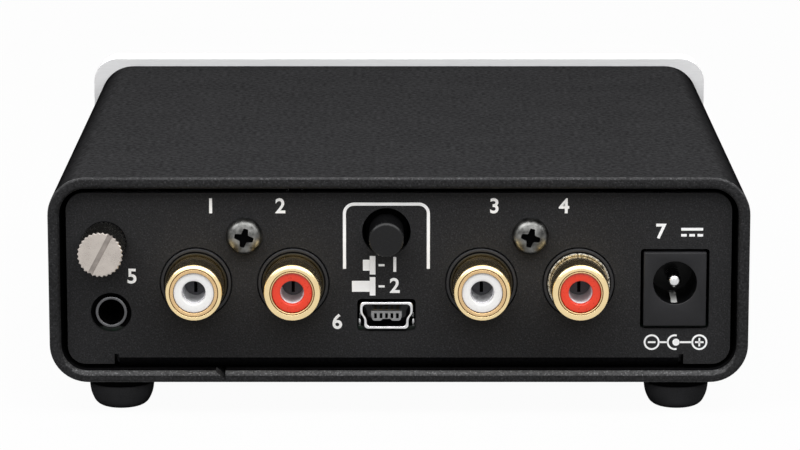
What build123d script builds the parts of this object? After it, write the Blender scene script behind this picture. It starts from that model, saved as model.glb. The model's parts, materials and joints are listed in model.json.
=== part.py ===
# Half-width phono preamp: a folded steel sleeve closed by a thick aluminium front panel.
# A bent tray inside carries the circuit board, the rear sockets and the front controls.
# Millimetres. X runs to the right seen from the front, Y to the rear, Z up from the table.
from build123d import *
import math
import os

# Sleeve: the outer case, folded from sheet, with its joint in the bottom wall
sleeve_width = 100.6
sleeve_height = 30.0
sleeve_length = 103.0
sleeve_wall = 1.65
sleeve_corner = 5.5
seam_x = 25.0
seam_width = 1.5
seam_depth = 1.25

# Front panel: a thick plate that stands proud of the sleeve all round
panel_proud = 1.2
panel_thick = 6.0
panel_corner = 4.0
panel_edge = 0.5

# Feet and the studs that hold sleeve and tray together
foot_height = 5.0
foot_top_radius = 4.7
foot_sole_radius = 2.6
foot_curve_steps = 4
foot_groove_drop = 1.5
foot_groove_size = 0.3
foot_side_inset = 9.85
foot_inset = 7.5
stud_radius = 1.5
stud_depth = 3.0
stud_past_nut = 0.7
nut_radius = 3.1
nut_height = 1.5

# Tray: one bent sheet with a rear plate, a floor and a front flange
sheet = 1.2
bend_inside = 0.46
rear_recess = 1.8
plate_gap = 0.85
plate_corner = 2.6
ear_gap = 0.7
ear_width = 7.4
relief_width = 0.7
relief_rise = 0.5
flange_drop = 2.6

# Circuit board and its fixings
board_thick = 1.6
board_side_gap = 2.65
board_rear_gap = 0.5
board_front_gap = 2.6
board_corner = 2.0
standoff_height = 3.15
standoff_radius = 2.9
standoff_side_inset = 5.0
standoff_inset = 23.0
screw_radius = 1.5
screw_head_radius = 2.6
screw_head_height = 1.9
screw_head_rim = 0.9
screw_head_bevel = 1.0
screw_cross_length = 2.9
screw_cross_width = 0.6
board_screw_reach = 2.8

# Screws from the tray's front flange into the back of the front panel
panel_screw_side_inset = 10.8
panel_screw_spread = 18.0
panel_screw_head = 2.4
panel_screw_reach = 4.4

# Paired phono sockets, each pair near the middle of the room between its neighbours
socket_pitch = 14.0
pair_shift = 0.1
socket_rise = 6.7
socket_side = 6.2
socket_top = 5.9
socket_deep = 10.0
collar_radius = 5.05
collar_gap = 0.2
collar_proud = 0.2
tower_half = 4.2
tower_rise = 3.9
barrel_radius = 4.15
barrel_wall = 0.7
barrel_out = 7.0
barrel_in = 4.6
barrel_lip = 0.7
barrel_edge = 0.5
barrel_mouth = 2.9
barrel_flange_radius = 4.5
barrel_flange = 0.5
insulator_sink = 0.35
contact_hole = 1.7
contact_radius = 2.1
contact_bore = 1.6
contact_sink = 1.2
contact_length = 6.5
contact_slit = 0.4
contact_rod = 1.0
tail_width = 1.2
tail_thick = 0.5
housing_edge = 2.0
core_rise = 3.1
socket_screw_turn = 14.0
socket_screw_rise = 6.95
socket_screw_reach = 6.0
fit_gap = 0.05

# Low-voltage power socket
power_side_inset = 8.08
power_rise = 6.8
power_width = 9.0
power_height = 10.8
power_deep = 14.0
power_nub = 0.45
power_proud = 0.4
power_slot_gap = 0.45
power_rib_step = 3.0
power_hole = 3.15
power_hole_deep = 9.5
power_pin = 1.0
power_pin_sink = 1.2
power_spring_thick = 0.3
power_spring_width = 2.2
power_spring_rise = 0.8

# Mini-B data socket, under the mode switch
usb_width = 7.6
usb_height = 3.95
usb_deep = 9.2
usb_wall = 0.4
usb_step_in = 0.6
usb_step_height = 1.5
usb_step_rise = 0.8
usb_corner = 0.55
usb_inner_corner = 0.23
usb_proud = 0.3
usb_slot_gap = 0.4
usb_back_thick = 2.4
usb_leg_out = 0.4
usb_leg_length = 0.8
usb_leg_rise = 2.8
usb_leg_places = (3.2, 7.4)
tongue_width = 4.6
tongue_thick = 0.95
tongue_sink = 0.9
tongue_rise = 1.75
lobe_width = 1.6
lobe_drop = 0.5
usb_contacts = 5
usb_contact_pitch = 0.8
usb_contact_width = 0.35
usb_contact_thick = 0.12
usb_groove_depth = 0.35

# Miniature line socket
line_side_inset = 6.3
line_rise = 2.3
line_width = 6.4
line_height = 5.0
line_deep = 12.0
line_hole = 2.95
ferrule_radius = 2.32
ferrule_bore = 1.85
ferrule_sink = 0.5
shoulder_radius = 2.6
shoulder_thick = 0.4
line_bore_deep = 9.0
line_edge = 1.0
ferrule_edge = 0.15
leaf_thick = 0.3
leaf_width = 1.5
leaf_place = 6.0
leaf_stagger = 2.4

# Push switches: one at the rear on a riser board, two behind the front panel
mode_x = 1.8
mode_rise = 14.2
mode_body = 5.8
mode_cap_radius = 2.5
mode_cap_out = 6.0
mode_hole = 3.5
front_body = 7.0
front_cap_radius = 3.0
front_cap_out = 3.2
front_hole_gap = 0.2
switch_travel = 2.5
switch_length = 12.0
switch_wall = 0.8
switch_run = 0.1
stem_size = 3.0
stem_reach = 4.5
plunger_length = 7.4
cap_edge = 0.5
cap_clear = 0.6
power_button_side_inset = 9.8
input_button_x = 4.0
front_rise = 7.4
pedestal_width = 8.6

# Riser board that lifts the rear switch over the data socket
riser_width = 9.0
riser_length = 21.0
riser_start = 5.2
header_pins = 4
header_pitch = 2.0
header_height = 2.5
header_deep = 2.4
header_inset = 2.2
pin_size = 0.64

# Earth terminal: knurled screw, captive washer and clinched bush
earth_shift = 0.8
earth_rise = 18.55
earth_head_radius = 3.25
earth_head_length = 7.8
earth_ridges = 24
earth_ridge_depth = 0.22
earth_slot_width = 0.9
earth_slot_depth = 0.9
earth_slot_angle = 25.0
earth_shank_radius = 1.5
earth_shank_length = 8.6
earth_run = 0.05
washer_radius = 3.2
washer_hole = 1.65
washer_thick = 0.6
washer_seat_gap = 0.15
bush_radius = 3.4
bush_neck_radius = 2.6
bush_length = 3.8

# Level control and its knob
knob_side_inset = 16.8
knob_radius = 7.5
knob_length = 12.0
knob_gap = 0.8
knob_chamfer = 0.5
knob_hub_radius = 4.6
knob_skirt_wall = 1.4
knob_hollow = 3.0
knob_bore_deep = 10.0
pointer_width = 1.0
pointer_depth = 0.4
pointer_start = 2.5
shaft_radius = 3.0
shaft_flat = 1.5
shaft_run = 0.05
grub_radius = 1.5
grub_place = 7.0
pot_size = 11.0
pot_deep = 6.5
pot_wall = 0.9
pot_foot_width = 9.6
pot_foot_deep = 3.0
rotor_radius = 3.9
rotor_thick = 1.6
bushing_radius = 3.5
bushing_length = 4.6
nut_flats = 10.0
pot_nut_thick = 2.0
pocket_radius = 6.6
pocket_deep = 2.9
bushing_gap = 0.15

# Indicator lamps, each beside its control
power_led_step = 10.0
level_led_step = 13.5
led_radius = 1.5
led_bevel = 0.5
led_gap = 0.08
led_proud = 0.4
led_length = 5.3
led_flange_radius = 1.95
led_flange = 1.0
led_lead = 0.5
led_lead_pitch = 2.54
led_lead_run = 7.0

# Parts on the board
can_radius = 4.0
can_height = 11.5
can_edge = 0.6
film_width = 7.2
film_thick = 3.0
film_height = 6.6
film_edge = 0.4
chip_length = 9.4
chip_width = 6.4
chip_height = 3.3
chip_lift = 0.5
chip_leads = 4
chip_lead_pitch = 2.54
codec_length = 10.2
codec_width = 5.6
codec_height = 1.8
codec_lift = 0.2
codec_lead_rise = 0.6
codec_lead_reach = 0.9
codec_leads = 14
codec_lead_pitch = 0.65
codec_lead_width = 0.2
crystal_length = 10.6
crystal_width = 4.4
crystal_height = 3.5
crystal_corner = 2.15
crystal_edge = 0.44
regulator_width = 10.0
regulator_thick = 4.4
regulator_height = 9.0
regulator_tab = 6.0
regulator_tab_thick = 1.3
regulator_hole = 1.5
regulator_leg = 3.0
regulator_leg_pitch = 2.54
relay_length = 14.0
relay_width = 9.0
relay_height = 5.0
relay_edge = 0.4
resistor_radius = 1.15
resistor_length = 6.2
resistor_lift = 0.4
resistor_lead = 0.55
resistor_reach = 1.6

# Places on the board: distances behind the board's rear edge and beside the rear sockets
can_step = 1.7
can_pitch = 10.0
can_rows = 3
can_start = 31.5
film_x = -9.0
film_column = 13.0
film_pitch = 5.2
film_rows = 4
film_start = 43.0
chip_step = 1.8
chip_pitch = 13.0
chip_count = 3
chip_start = 40.0
relay_step = 7.75
relay_start = 19.0
resistor_side_inset = 8.5
resistor_pitch = 3.6
resistor_count = 10
resistor_start = 34.0
codec_x = -12.0
codec_start = 24.0
crystal_start = 33.0
regulator_side_inset = 12.5
regulator_start = 62.0

# Heights
sleeve_floor = foot_height + sleeve_wall
sleeve_ceiling = foot_height + sleeve_height - sleeve_wall
sleeve_middle = foot_height + sleeve_height / 2
tray_top = sleeve_floor + sheet
board_bottom = tray_top + standoff_height
board_top = board_bottom + board_thick
socket_z = board_top + socket_rise
socket_screw_z = socket_z + socket_screw_rise
power_z = board_top + power_rise
line_z = board_top + line_rise
mode_z = board_top + mode_rise
riser_top = mode_z - mode_body / 2
riser_bottom = riser_top - board_thick
front_z = board_top + front_rise
earth_z = sleeve_floor + earth_rise
plate_top = sleeve_ceiling - plate_gap
flange_top = sleeve_ceiling - flange_drop

# Places along the depth, with the whole object centred on the origin
earth_head_stand = washer_seat_gap + washer_thick + earth_run
earth_past_sleeve = earth_head_stand + earth_head_length - rear_recess
front_past_sleeve = panel_thick + knob_gap + knob_length
sleeve_rear = (sleeve_length + front_past_sleeve - earth_past_sleeve) / 2
sleeve_front = sleeve_rear - sleeve_length
panel_face = sleeve_front - panel_thick
plate_outside = sleeve_rear - rear_recess
plate_inside = plate_outside - sheet
flange_inside = sleeve_front + sheet
board_rear = plate_inside - board_rear_gap
board_front = flange_inside + board_front_gap
earth_seat = plate_outside + earth_head_stand
knob_back = panel_face - knob_gap
knob_face = knob_back - knob_length

# Widths, and places along the width, chained from the sleeve's walls inward
board_half = sleeve_width / 2 - sleeve_wall - board_side_gap
plate_half = sleeve_width / 2 - sleeve_wall - plate_gap
panel_width = sleeve_width + 2 * panel_proud
panel_height = sleeve_height + 2 * panel_proud
tray_width = 2 * (plate_half - ear_width)
foot_x = sleeve_width / 2 - foot_side_inset
standoff_x = board_half - standoff_side_inset
panel_screw_x = plate_half - panel_screw_side_inset
power_x = power_side_inset - plate_half
line_x = plate_half - line_side_inset
earth_x = line_x + earth_shift
input_pair_x = (line_x - line_width / 2 + mode_x + riser_width / 2) / 2 - pair_shift
output_pair_x = (power_x + power_width / 2 + mode_x - riser_width / 2) / 2 + pair_shift
usb_x = mode_x
knob_x = plate_half - knob_side_inset
level_led_x = knob_x - level_led_step
power_button_x = power_button_side_inset - plate_half
power_led_x = power_button_x + power_led_step

foot_places = [(x, y) for x in (-foot_x, foot_x) for y in (sleeve_front + foot_inset, sleeve_rear - foot_inset)]
standoff_places = [
    (x, y)
    for x in (-standoff_x, standoff_x)
    for y in (sleeve_front + standoff_inset, sleeve_rear - standoff_inset)
]
panel_screw_places = [
    (x, sleeve_middle + side * panel_screw_spread / 2)
    for x in (-panel_screw_x, panel_screw_x)
    for side in (-1, 1)
]
pair_centres = [input_pair_x, output_pair_x]
left_socket_xs = [x + socket_pitch / 2 for x in pair_centres]
right_socket_xs = [x - socket_pitch / 2 for x in pair_centres]
socket_xs = left_socket_xs + right_socket_xs


# A box between two corners.
def block(x0, x1, y0, y1, z0, z1):
    middle = Pos((x0 + x1) / 2, (y0 + y1) / 2, (z0 + z1) / 2)
    return middle * Box(abs(x1 - x0), abs(y1 - y0), abs(z1 - z0))


# A box centred on x and z that runs along the depth.
def bar(width, height, y0, y1, x, z):
    return block(x - width / 2, x + width / 2, y0, y1, z - height / 2, z + height / 2)


# A round rod along the depth, between two Y planes.
def rod(radius, y0, y1, x, z):
    return Pos(x, (y0 + y1) / 2, z) * Rot(90, 0, 0) * Cylinder(radius, abs(y1 - y0))


# An upright round post.
def post(radius, z0, z1, x, y):
    return Pos(x, y, (z0 + z1) / 2) * Cylinder(radius, z1 - z0)


# An outline drawn in X and Z, extruded along the depth between two Y planes.
def slab(outline, y0, y1, x, z):
    start = Plane(origin=(x, max(y0, y1), z), x_dir=(1, 0, 0), z_dir=(0, -1, 0))
    return extrude(start * outline, amount=abs(y1 - y0))


# A shape turned about a line along the depth, from (radius, y) corners.
def turned(corners, x, z):
    outline = make_face(Polyline(*corners, close=True))
    return Pos(x, 0, z) * revolve(outline, Axis.Y)


# A shape turned about an upright line, from (radius, z) corners.
def turned_up(corners, x, y):
    outline = make_face(Plane.XZ * Polyline(*corners, close=True))
    return Pos(x, y, 0) * revolve(outline, Axis.Z)


def make_sleeve_cover():
    outside = RectangleRounded(sleeve_width, sleeve_height, sleeve_corner)
    inner_width = sleeve_width - 2 * sleeve_wall
    inner_height = sleeve_height - 2 * sleeve_wall
    inside = RectangleRounded(inner_width, inner_height, sleeve_corner - sleeve_wall)
    cover = slab(outside - inside, sleeve_rear, sleeve_front, 0, sleeve_middle)
    for x, y in foot_places:
        cover -= post(stud_radius, foot_height, sleeve_floor, x, y)
    seam = Polygon((0, 0), (0, -seam_depth), (seam_width, 0), align=None)
    return cover - slab(seam, sleeve_rear, sleeve_front, seam_x, sleeve_floor)


def make_front_panel():
    outline = RectangleRounded(panel_width, panel_height, panel_corner)
    panel = slab(outline, sleeve_front, panel_face, 0, sleeve_middle)
    panel = chamfer(panel.faces().sort_by(Axis.Y)[0].edges(), panel_edge)
    for x in (power_button_x, input_button_x):
        panel -= rod(front_cap_radius + front_hole_gap, sleeve_front, panel_face, x, front_z)
    panel -= rod(bushing_radius + bushing_gap, sleeve_front, panel_face, knob_x, front_z)
    panel -= rod(pocket_radius, sleeve_front, sleeve_front - pocket_deep, knob_x, front_z)
    led_seat = panel_face + led_length - led_flange - led_proud
    for x in (power_led_x, level_led_x):
        panel -= rod(led_radius + led_gap, sleeve_front, panel_face, x, front_z)
        panel -= rod(led_flange_radius + led_gap, sleeve_front, led_seat, x, front_z)
    for x, z in panel_screw_places:
        panel -= rod(screw_radius, sleeve_front, sleeve_front - panel_screw_reach, x, z)
    return panel


# The tray's side profile is a U with rounded bends. The rear plate is wider than the floor,
# so the bend ends in two relief cuts with an ear outside each.
def make_chassis_tray():
    bend_outside = bend_inside + sheet
    length = plate_outside - sleeve_front
    middle = (plate_outside + sleeve_front) / 2
    outer = Rectangle(length, sleeve_height, align=(Align.CENTER, Align.MIN))
    outer = fillet(outer.vertices().group_by(Axis.Y)[0], bend_outside)
    inner = Pos(0, sheet) * Rectangle(length - 2 * sheet, sleeve_height, align=(Align.CENTER, Align.MIN))
    inner = fillet(inner.vertices().group_by(Axis.Y)[0], bend_inside)
    side = Plane(origin=(-tray_width / 2, middle, sleeve_floor), x_dir=(0, 1, 0), z_dir=(1, 0, 0))
    tray = extrude(side * (outer - inner), amount=tray_width)
    tray -= block(-tray_width, tray_width, middle, plate_outside, plate_top, sleeve_ceiling + sleeve_height)
    tray -= block(-tray_width, tray_width, sleeve_front, middle, flange_top, sleeve_ceiling + sleeve_height)

    plate_low = sleeve_floor + ear_gap
    plate_height = plate_top - plate_low
    outline = RectangleRounded(2 * plate_half, plate_height, plate_corner)
    plate = slab(outline, plate_outside, plate_inside, 0, plate_low + plate_height / 2)
    bend_top = sleeve_floor + bend_outside
    plate -= block(-tray_width / 2, tray_width / 2, plate_inside, plate_outside, plate_low, bend_top)
    tray += plate
    for side in (-1, 1):
        inner_x = side * tray_width / 2
        outer_x = side * (tray_width / 2 + relief_width)
        tray -= block(inner_x, outer_x, plate_inside, plate_outside, plate_low, bend_top + relief_rise)

    for x in socket_xs:
        tray -= rod(collar_radius + collar_gap, plate_inside, plate_outside, x, socket_z)
    for x in pair_centres:
        tray -= rod(screw_radius, plate_inside, plate_outside, x, socket_screw_z)
    tray -= rod(line_hole, plate_inside, plate_outside, line_x, line_z)
    tray -= rod(mode_hole, plate_inside, plate_outside, mode_x, mode_z)
    tray -= rod(bush_neck_radius, plate_inside, plate_outside, earth_x, earth_z)
    power_low = board_top + power_nub
    slot_width = power_width + 2 * power_slot_gap
    power_slot = RectangleRounded(slot_width, power_height + 2 * power_slot_gap, power_slot_gap)
    tray -= slab(power_slot, plate_outside, plate_inside, power_x, power_low + power_height / 2)
    slot_width = usb_width + 2 * usb_slot_gap
    usb_slot = RectangleRounded(slot_width, usb_height + 2 * usb_slot_gap, usb_corner)
    tray -= slab(usb_slot, plate_outside, plate_inside, usb_x, board_top + usb_height / 2)

    for x in (power_button_x, input_button_x):
        tray -= rod(front_cap_radius + 2 * front_hole_gap, flange_inside, sleeve_front, x, front_z)
    tray -= rod(bushing_radius, flange_inside, sleeve_front, knob_x, front_z)
    for x in (power_led_x, level_led_x):
        lead_slot = Rectangle(2 * led_flange_radius, 2 * led_flange_radius)
        tray -= slab(lead_slot, flange_inside, sleeve_front, x, front_z)
    for x, z in panel_screw_places:
        tray -= rod(screw_radius, flange_inside, sleeve_front, x, z)
    for x, y in foot_places:
        tray -= post(stud_radius, sleeve_floor, tray_top, x, y)
    return tray


# Rubber foot: a grooved bowl that rounds in to its sole.
def make_feet():
    groove_top = foot_height - foot_groove_drop
    groove_low = groove_top - foot_groove_size
    flare = foot_top_radius - foot_sole_radius
    corners = [(0, 0)]
    for step in range(foot_curve_steps + 1):
        turn = math.pi / 2 * step / foot_curve_steps
        corners.append((foot_sole_radius + flare * math.sin(turn), groove_low * (1 - math.cos(turn))))
    corners += [
        (foot_top_radius - foot_groove_size, groove_low),
        (foot_top_radius - foot_groove_size, groove_top),
        (foot_top_radius, groove_top),
        (foot_top_radius, foot_height),
        (stud_radius, foot_height),
        (stud_radius, foot_height - stud_depth),
        (0, foot_height - stud_depth),
    ]
    return [turned_up(corners, x, y) for x, y in foot_places]


def make_foot_studs():
    low = foot_height - stud_depth
    high = tray_top + nut_height + stud_past_nut
    return [post(stud_radius, low, high, x, y) for x, y in foot_places]


def make_clinch_nuts():
    nut = post(nut_radius, tray_top, tray_top + nut_height, 0, 0)
    nut -= post(stud_radius, tray_top, tray_top + nut_height, 0, 0)
    return [Pos(x, y, 0) * nut for x, y in foot_places]


def make_main_board():
    length = board_rear - board_front
    outline = RectangleRounded(2 * board_half, length, board_corner)
    middle = Pos(0, (board_rear + board_front) / 2, board_bottom)
    board = middle * extrude(outline, amount=board_thick)
    for x, y in standoff_places:
        board -= post(screw_radius, board_bottom, board_top, x, y)
    return board


def make_board_standoffs():
    reach = board_bottom - board_screw_reach
    standoff = post(standoff_radius, tray_top, board_bottom, 0, 0)
    standoff -= post(screw_radius, reach, board_bottom, 0, 0)
    return [Pos(x, y, 0) * standoff for x, y in standoff_places]


# A cross recess centred on the local origin, half as deep as the head is high.
def cross_recess():
    recess = Box(screw_cross_length, screw_cross_width, screw_head_height)
    return recess + Box(screw_cross_width, screw_cross_length, screw_head_height)


# A pan-head screw with its seat at the local origin and its head along +Z.
def pan_screw(head_radius, reach):
    corners = [
        (0, -reach),
        (screw_radius, -reach),
        (screw_radius, 0),
        (head_radius, 0),
        (head_radius, screw_head_rim),
        (head_radius - screw_head_bevel, screw_head_height),
        (0, screw_head_height),
    ]
    return turned_up(corners, 0, 0) - Pos(0, 0, screw_head_height) * cross_recess()


def make_board_screws():
    screw = pan_screw(screw_head_radius, board_thick + board_screw_reach)
    return [Pos(x, y, board_top) * screw for x, y in standoff_places]


# The heads lie inside the flange and the shanks run forward into the panel.
def make_panel_screws():
    screw = Rot(-90, 0, 0) * pan_screw(panel_screw_head, sheet + panel_screw_reach)
    return [Pos(x, flange_inside, z) * screw for x, z in panel_screw_places]


# Moulded housing of one socket pair: a base on the board, a collar round each barrel that
# fills its hole in the rear plate, and a tower between them that takes the screw.
def make_socket_housing(centre):
    half = socket_pitch / 2 + socket_side
    back = plate_inside - socket_deep
    top = socket_z + socket_top
    housing = block(centre - half, centre + half, back, plate_inside, board_top, top)
    tower_top = top + tower_rise
    tower = bar(2 * tower_half, tower_rise, back + tower_half, plate_inside, centre, top + tower_rise / 2)
    tower = fillet(tower.edges().filter_by(Axis.Y).group_by(Axis.Z)[-1], tower_half / 2)
    housing = fillet(housing.edges().filter_by(Axis.Y).group_by(Axis.Z)[-1], housing_edge) + tower
    for x in (centre - socket_pitch / 2, centre + socket_pitch / 2):
        housing += rod(collar_radius, plate_inside, plate_outside + collar_proud, x, socket_z)
        housing -= rod(barrel_radius, plate_outside - barrel_in, plate_outside + collar_proud, x, socket_z)
        housing -= rod(contact_rod, back, plate_inside, x, socket_z)
        tail = (x - tail_width / 2, x + tail_width / 2, back, back + tail_thick)
        housing -= block(*tail, board_top, socket_z)
    core_width = socket_pitch - 2 * collar_radius
    housing -= bar(core_width, 2 * core_rise, back, plate_inside - tower_half, centre, board_top + core_rise)
    return housing - rod(screw_radius, plate_inside - socket_screw_reach, plate_inside, centre, socket_screw_z)


# Metal barrels of the phono sockets, each with a flange on the collar and a rolled-in mouth.
def make_socket_barrels():
    tip = plate_outside + barrel_out
    end = plate_outside - barrel_in
    seat = plate_outside + collar_proud
    bore = barrel_radius - barrel_wall
    corners = [
        (bore, end),
        (barrel_radius, end),
        (barrel_radius, seat),
        (barrel_flange_radius, seat),
        (barrel_flange_radius, seat + barrel_flange),
        (barrel_radius, seat + barrel_flange),
        (barrel_radius, tip - barrel_edge),
        (barrel_radius - barrel_edge, tip),
        (barrel_mouth, tip),
        (barrel_mouth, tip - barrel_lip),
        (bore, tip - barrel_lip),
    ]
    return [turned(corners, x, socket_z) for x in socket_xs]


# Insulator that fills the barrel, with a nose in its mouth and a stepped hole for the contact.
def make_insulators(places):
    tip = plate_outside + barrel_out
    end = plate_outside - barrel_in
    bore = barrel_radius - barrel_wall
    corners = [
        (contact_hole, tip - insulator_sink),
        (barrel_mouth, tip - insulator_sink),
        (barrel_mouth, tip - barrel_lip),
        (bore, tip - barrel_lip),
        (bore, end),
        (contact_rod, end),
        (contact_rod, tip - contact_sink - contact_length),
        (contact_radius, tip - contact_sink - contact_length),
        (contact_radius, tip - contact_sink),
        (contact_hole, tip - contact_sink),
    ]
    return [turned(corners, x, socket_z) for x in places]


# Centre contact: a slit tube that grips the plug's pin, a rod and a tail bent down to the board.
def make_center_contact():
    mouth = plate_outside + barrel_out - contact_sink
    root = mouth - contact_length
    back = plate_inside - socket_deep
    contact = rod(contact_radius, root, mouth, 0, socket_z)
    contact -= rod(contact_bore, root + contact_slit, mouth, 0, socket_z)
    slit_z = socket_z + contact_radius / 2
    contact -= bar(contact_slit, contact_radius, root + 2 * contact_slit, mouth, 0, slit_z)
    contact += rod(contact_rod, back, root, 0, socket_z)
    return contact + block(-tail_width / 2, tail_width / 2, back, back + tail_thick, board_top, socket_z)


def make_center_contacts():
    contact = make_center_contact()
    return [Pos(x, 0, 0) * contact for x in socket_xs]


def make_socket_screws():
    screw = Rot(-90, 0, 0) * pan_screw(screw_head_radius, sheet + socket_screw_reach)
    return [Pos(x, plate_outside, socket_screw_z) * Rot(0, socket_screw_turn, 0) * screw for x in pair_centres]


# Power socket: a moulded block on two ribs, with a round mouth and a slot for its spring.
def make_power_jack_body():
    face = plate_outside + power_proud
    back = face - power_deep
    low = board_top + power_nub
    body = block(power_x - power_width / 2, power_x + power_width / 2, back, face, low, low + power_height)
    body = fillet(body.edges().filter_by(Axis.Y), power_nub)
    for side in (-1, 1):
        rib_x = power_x + side * power_rib_step
        body += bar(2 * power_nub, 2 * power_nub, back, plate_inside, rib_x, low)
    body -= rod(power_hole, face - power_hole_deep, face, power_x, power_z)
    body -= rod(power_pin, back, face, power_x, power_z)
    spring_low = power_z - power_hole - power_spring_thick
    slot = block(
        power_x - power_spring_width / 2,
        power_x + power_spring_width / 2,
        face - power_hole_deep,
        face - power_pin_sink,
        spring_low,
        power_z,
    )
    return body - slot


def make_power_jack_pin():
    face = plate_outside + power_proud
    pin = rod(power_pin, face - power_deep, face - power_pin_sink, power_x, power_z)
    return chamfer(pin.edges().sort_by(Axis.Y)[-1], power_pin / 2)


# Bent leaf at the bottom of the power socket, raised in the middle where it meets the plug.
def make_power_jack_spring():
    face = plate_outside + power_proud
    rear = face - power_hole_deep
    front = face - power_pin_sink
    low = power_z - power_hole - power_spring_thick
    rise = power_spring_rise
    crest = (rear + front) / 2
    outline = Polygon(
        (rear, low),
        (front, low),
        (front, low + power_spring_thick),
        (crest + rise, low + power_spring_thick),
        (crest, low + power_spring_thick + rise),
        (crest - rise, low + power_spring_thick),
        (rear, low + power_spring_thick),
        align=None,
    )
    side = Plane(origin=(power_x - power_spring_width / 2, 0, 0), x_dir=(0, 1, 0), z_dir=(1, 0, 0))
    return extrude(side * outline, amount=power_spring_width)


# Outline of the data socket: wide above, stepped in below, drawn from the board upward.
def usb_outline(inset):
    half = usb_width / 2 - inset
    low_half = half - usb_step_in
    outline = Polygon(
        (-low_half, inset),
        (low_half, inset),
        (low_half, usb_step_height),
        (half, usb_step_height + usb_step_rise),
        (half, usb_height - inset),
        (-half, usb_height - inset),
        (-half, usb_step_height + usb_step_rise),
        (-low_half, usb_step_height),
        align=None,
    )
    return fillet(outline.vertices(), usb_inner_corner if inset else usb_corner)


def make_usb_shell():
    face = plate_outside + usb_proud
    back = face - usb_deep
    shell = slab(usb_outline(0) - usb_outline(usb_wall), face, back, usb_x, board_top)
    half = usb_width / 2
    for side in (-1, 1):
        inner_x = usb_x + side * (half - usb_wall)
        outer_x = usb_x + side * (half + usb_leg_out)
        for place in usb_leg_places:
            start = face - place - usb_leg_length / 2
            leg_top = board_top + usb_leg_rise
            shell += block(inner_x, outer_x, start, start + usb_leg_length, board_top, leg_top)
    return shell


usb_first_contact = usb_x - (usb_contacts - 1) / 2 * usb_contact_pitch
usb_contact_xs = [usb_first_contact + number * usb_contact_pitch for number in range(usb_contacts)]


# Insulating block that closes the shell's back, and the tongue in front of it: grooved above for
# the contacts, with two lobes and a notch between them below.
def make_usb_tongue():
    face = plate_outside + usb_proud
    root = face - usb_deep + usb_back_thick
    tip = face - tongue_sink
    low = board_top + tongue_rise
    top = low + tongue_thick
    tongue = slab(usb_outline(usb_wall), root, face - usb_deep, usb_x, board_top)
    tongue += block(usb_x - tongue_width / 2, usb_x + tongue_width / 2, root, tip, low, top)
    for side in (-1, 1):
        outer_x = usb_x + side * tongue_width / 2
        tongue += block(outer_x - side * lobe_width, outer_x, root, tip, low - lobe_drop, low)
    for x in usb_contact_xs:
        half = usb_contact_width / 2
        tongue -= block(x - half, x + half, root, tip, top - usb_groove_depth, top)
    return tongue


def make_usb_contacts():
    face = plate_outside + usb_proud
    root = face - usb_deep + usb_back_thick
    low = board_top + tongue_rise + tongue_thick - usb_groove_depth
    half = usb_contact_width / 2
    tip = face - 2 * tongue_sink
    return [block(x - half, x + half, root, tip, low, low + usb_contact_thick) for x in usb_contact_xs]


def make_line_jack_body():
    front = plate_inside
    back = front - line_deep
    top = board_top + line_height
    body = block(line_x - line_width / 2, line_x + line_width / 2, back, front, board_top, top)
    body = fillet(body.edges().filter_by(Axis.Y).group_by(Axis.Z)[-1], line_edge)
    body -= rod(shoulder_radius, front - shoulder_thick, front, line_x, line_z)
    body -= rod(ferrule_bore, front - line_bore_deep, front, line_x, line_z)
    for side in (-1, 1):
        leaf_x = line_x + side * (line_width / 2 - leaf_thick / 2)
        start = front - leaf_place - leaf_stagger * side - leaf_width / 2
        body -= bar(leaf_thick, 2 * line_height, start, start + leaf_width, leaf_x, board_top)
    return body


# Threaded metal nose of the line socket, with a shoulder seated in the body.
def make_line_jack_ferrule():
    seat = plate_inside - shoulder_thick
    tip = plate_outside - ferrule_sink
    ferrule = rod(ferrule_radius, seat, tip, line_x, line_z)
    ferrule += rod(shoulder_radius, seat, plate_inside, line_x, line_z)
    ferrule = chamfer(ferrule.edges().sort_by(Axis.Y)[-1], ferrule_edge)
    return ferrule - rod(ferrule_bore, seat, tip, line_x, line_z)


def make_line_jack_contacts():
    leaves = []
    for side in (-1, 1):
        outer_x = line_x + side * line_width / 2
        start = plate_inside - leaf_place - leaf_stagger * side - leaf_width / 2
        top = board_top + line_height
        leaves.append(block(outer_x - side * leaf_thick, outer_x, start, start + leaf_width, board_top, top))
    return leaves


# Housing of a push switch whose face lies at face_y and looks toward +Y or -Y (facing 1 or -1).
def switch_housing(body, x, z, face_y, facing):
    back_y = face_y - facing * switch_length
    housing = bar(body, body, back_y, face_y, x, z)
    cavity = body - 2 * switch_wall
    housing -= bar(cavity, cavity, back_y + facing * switch_wall, face_y - facing * switch_wall, x, z)
    mouth = stem_size + 2 * switch_run
    return housing - bar(mouth, mouth, face_y - facing * switch_wall, face_y, x, z)


# Plunger of a push switch: a square stem and, inside the housing, a wider slider.
def switch_plunger(body, x, z, face_y, facing, cap_back_y):
    slider = body - 2 * switch_wall - 2 * switch_run
    slider_front = face_y - facing * (switch_wall + switch_run)
    plunger = bar(slider, slider, slider_front - facing * plunger_length, slider_front, x, z)
    return plunger + bar(stem_size, stem_size, slider_front, cap_back_y + facing * stem_reach, x, z)


# Round cap on a plunger, hollow where the square stem enters it.
def switch_cap(radius, x, z, cap_back_y, cap_face_y, facing):
    cap = rod(radius, cap_back_y, cap_face_y, x, z)
    order = cap.edges().sort_by(Axis.Y)
    cap = chamfer(order[-1] if facing > 0 else order[0], cap_edge)
    return cap - bar(stem_size, stem_size, cap_back_y, cap_back_y + facing * stem_reach, x, z)


mode_cap_face = plate_outside + mode_cap_out
mode_cap_back = plate_inside
mode_face = mode_cap_back - switch_travel - cap_clear
front_cap_face = panel_face - front_cap_out
front_cap_back = sleeve_front
front_face = front_cap_back + switch_travel + cap_clear


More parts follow.
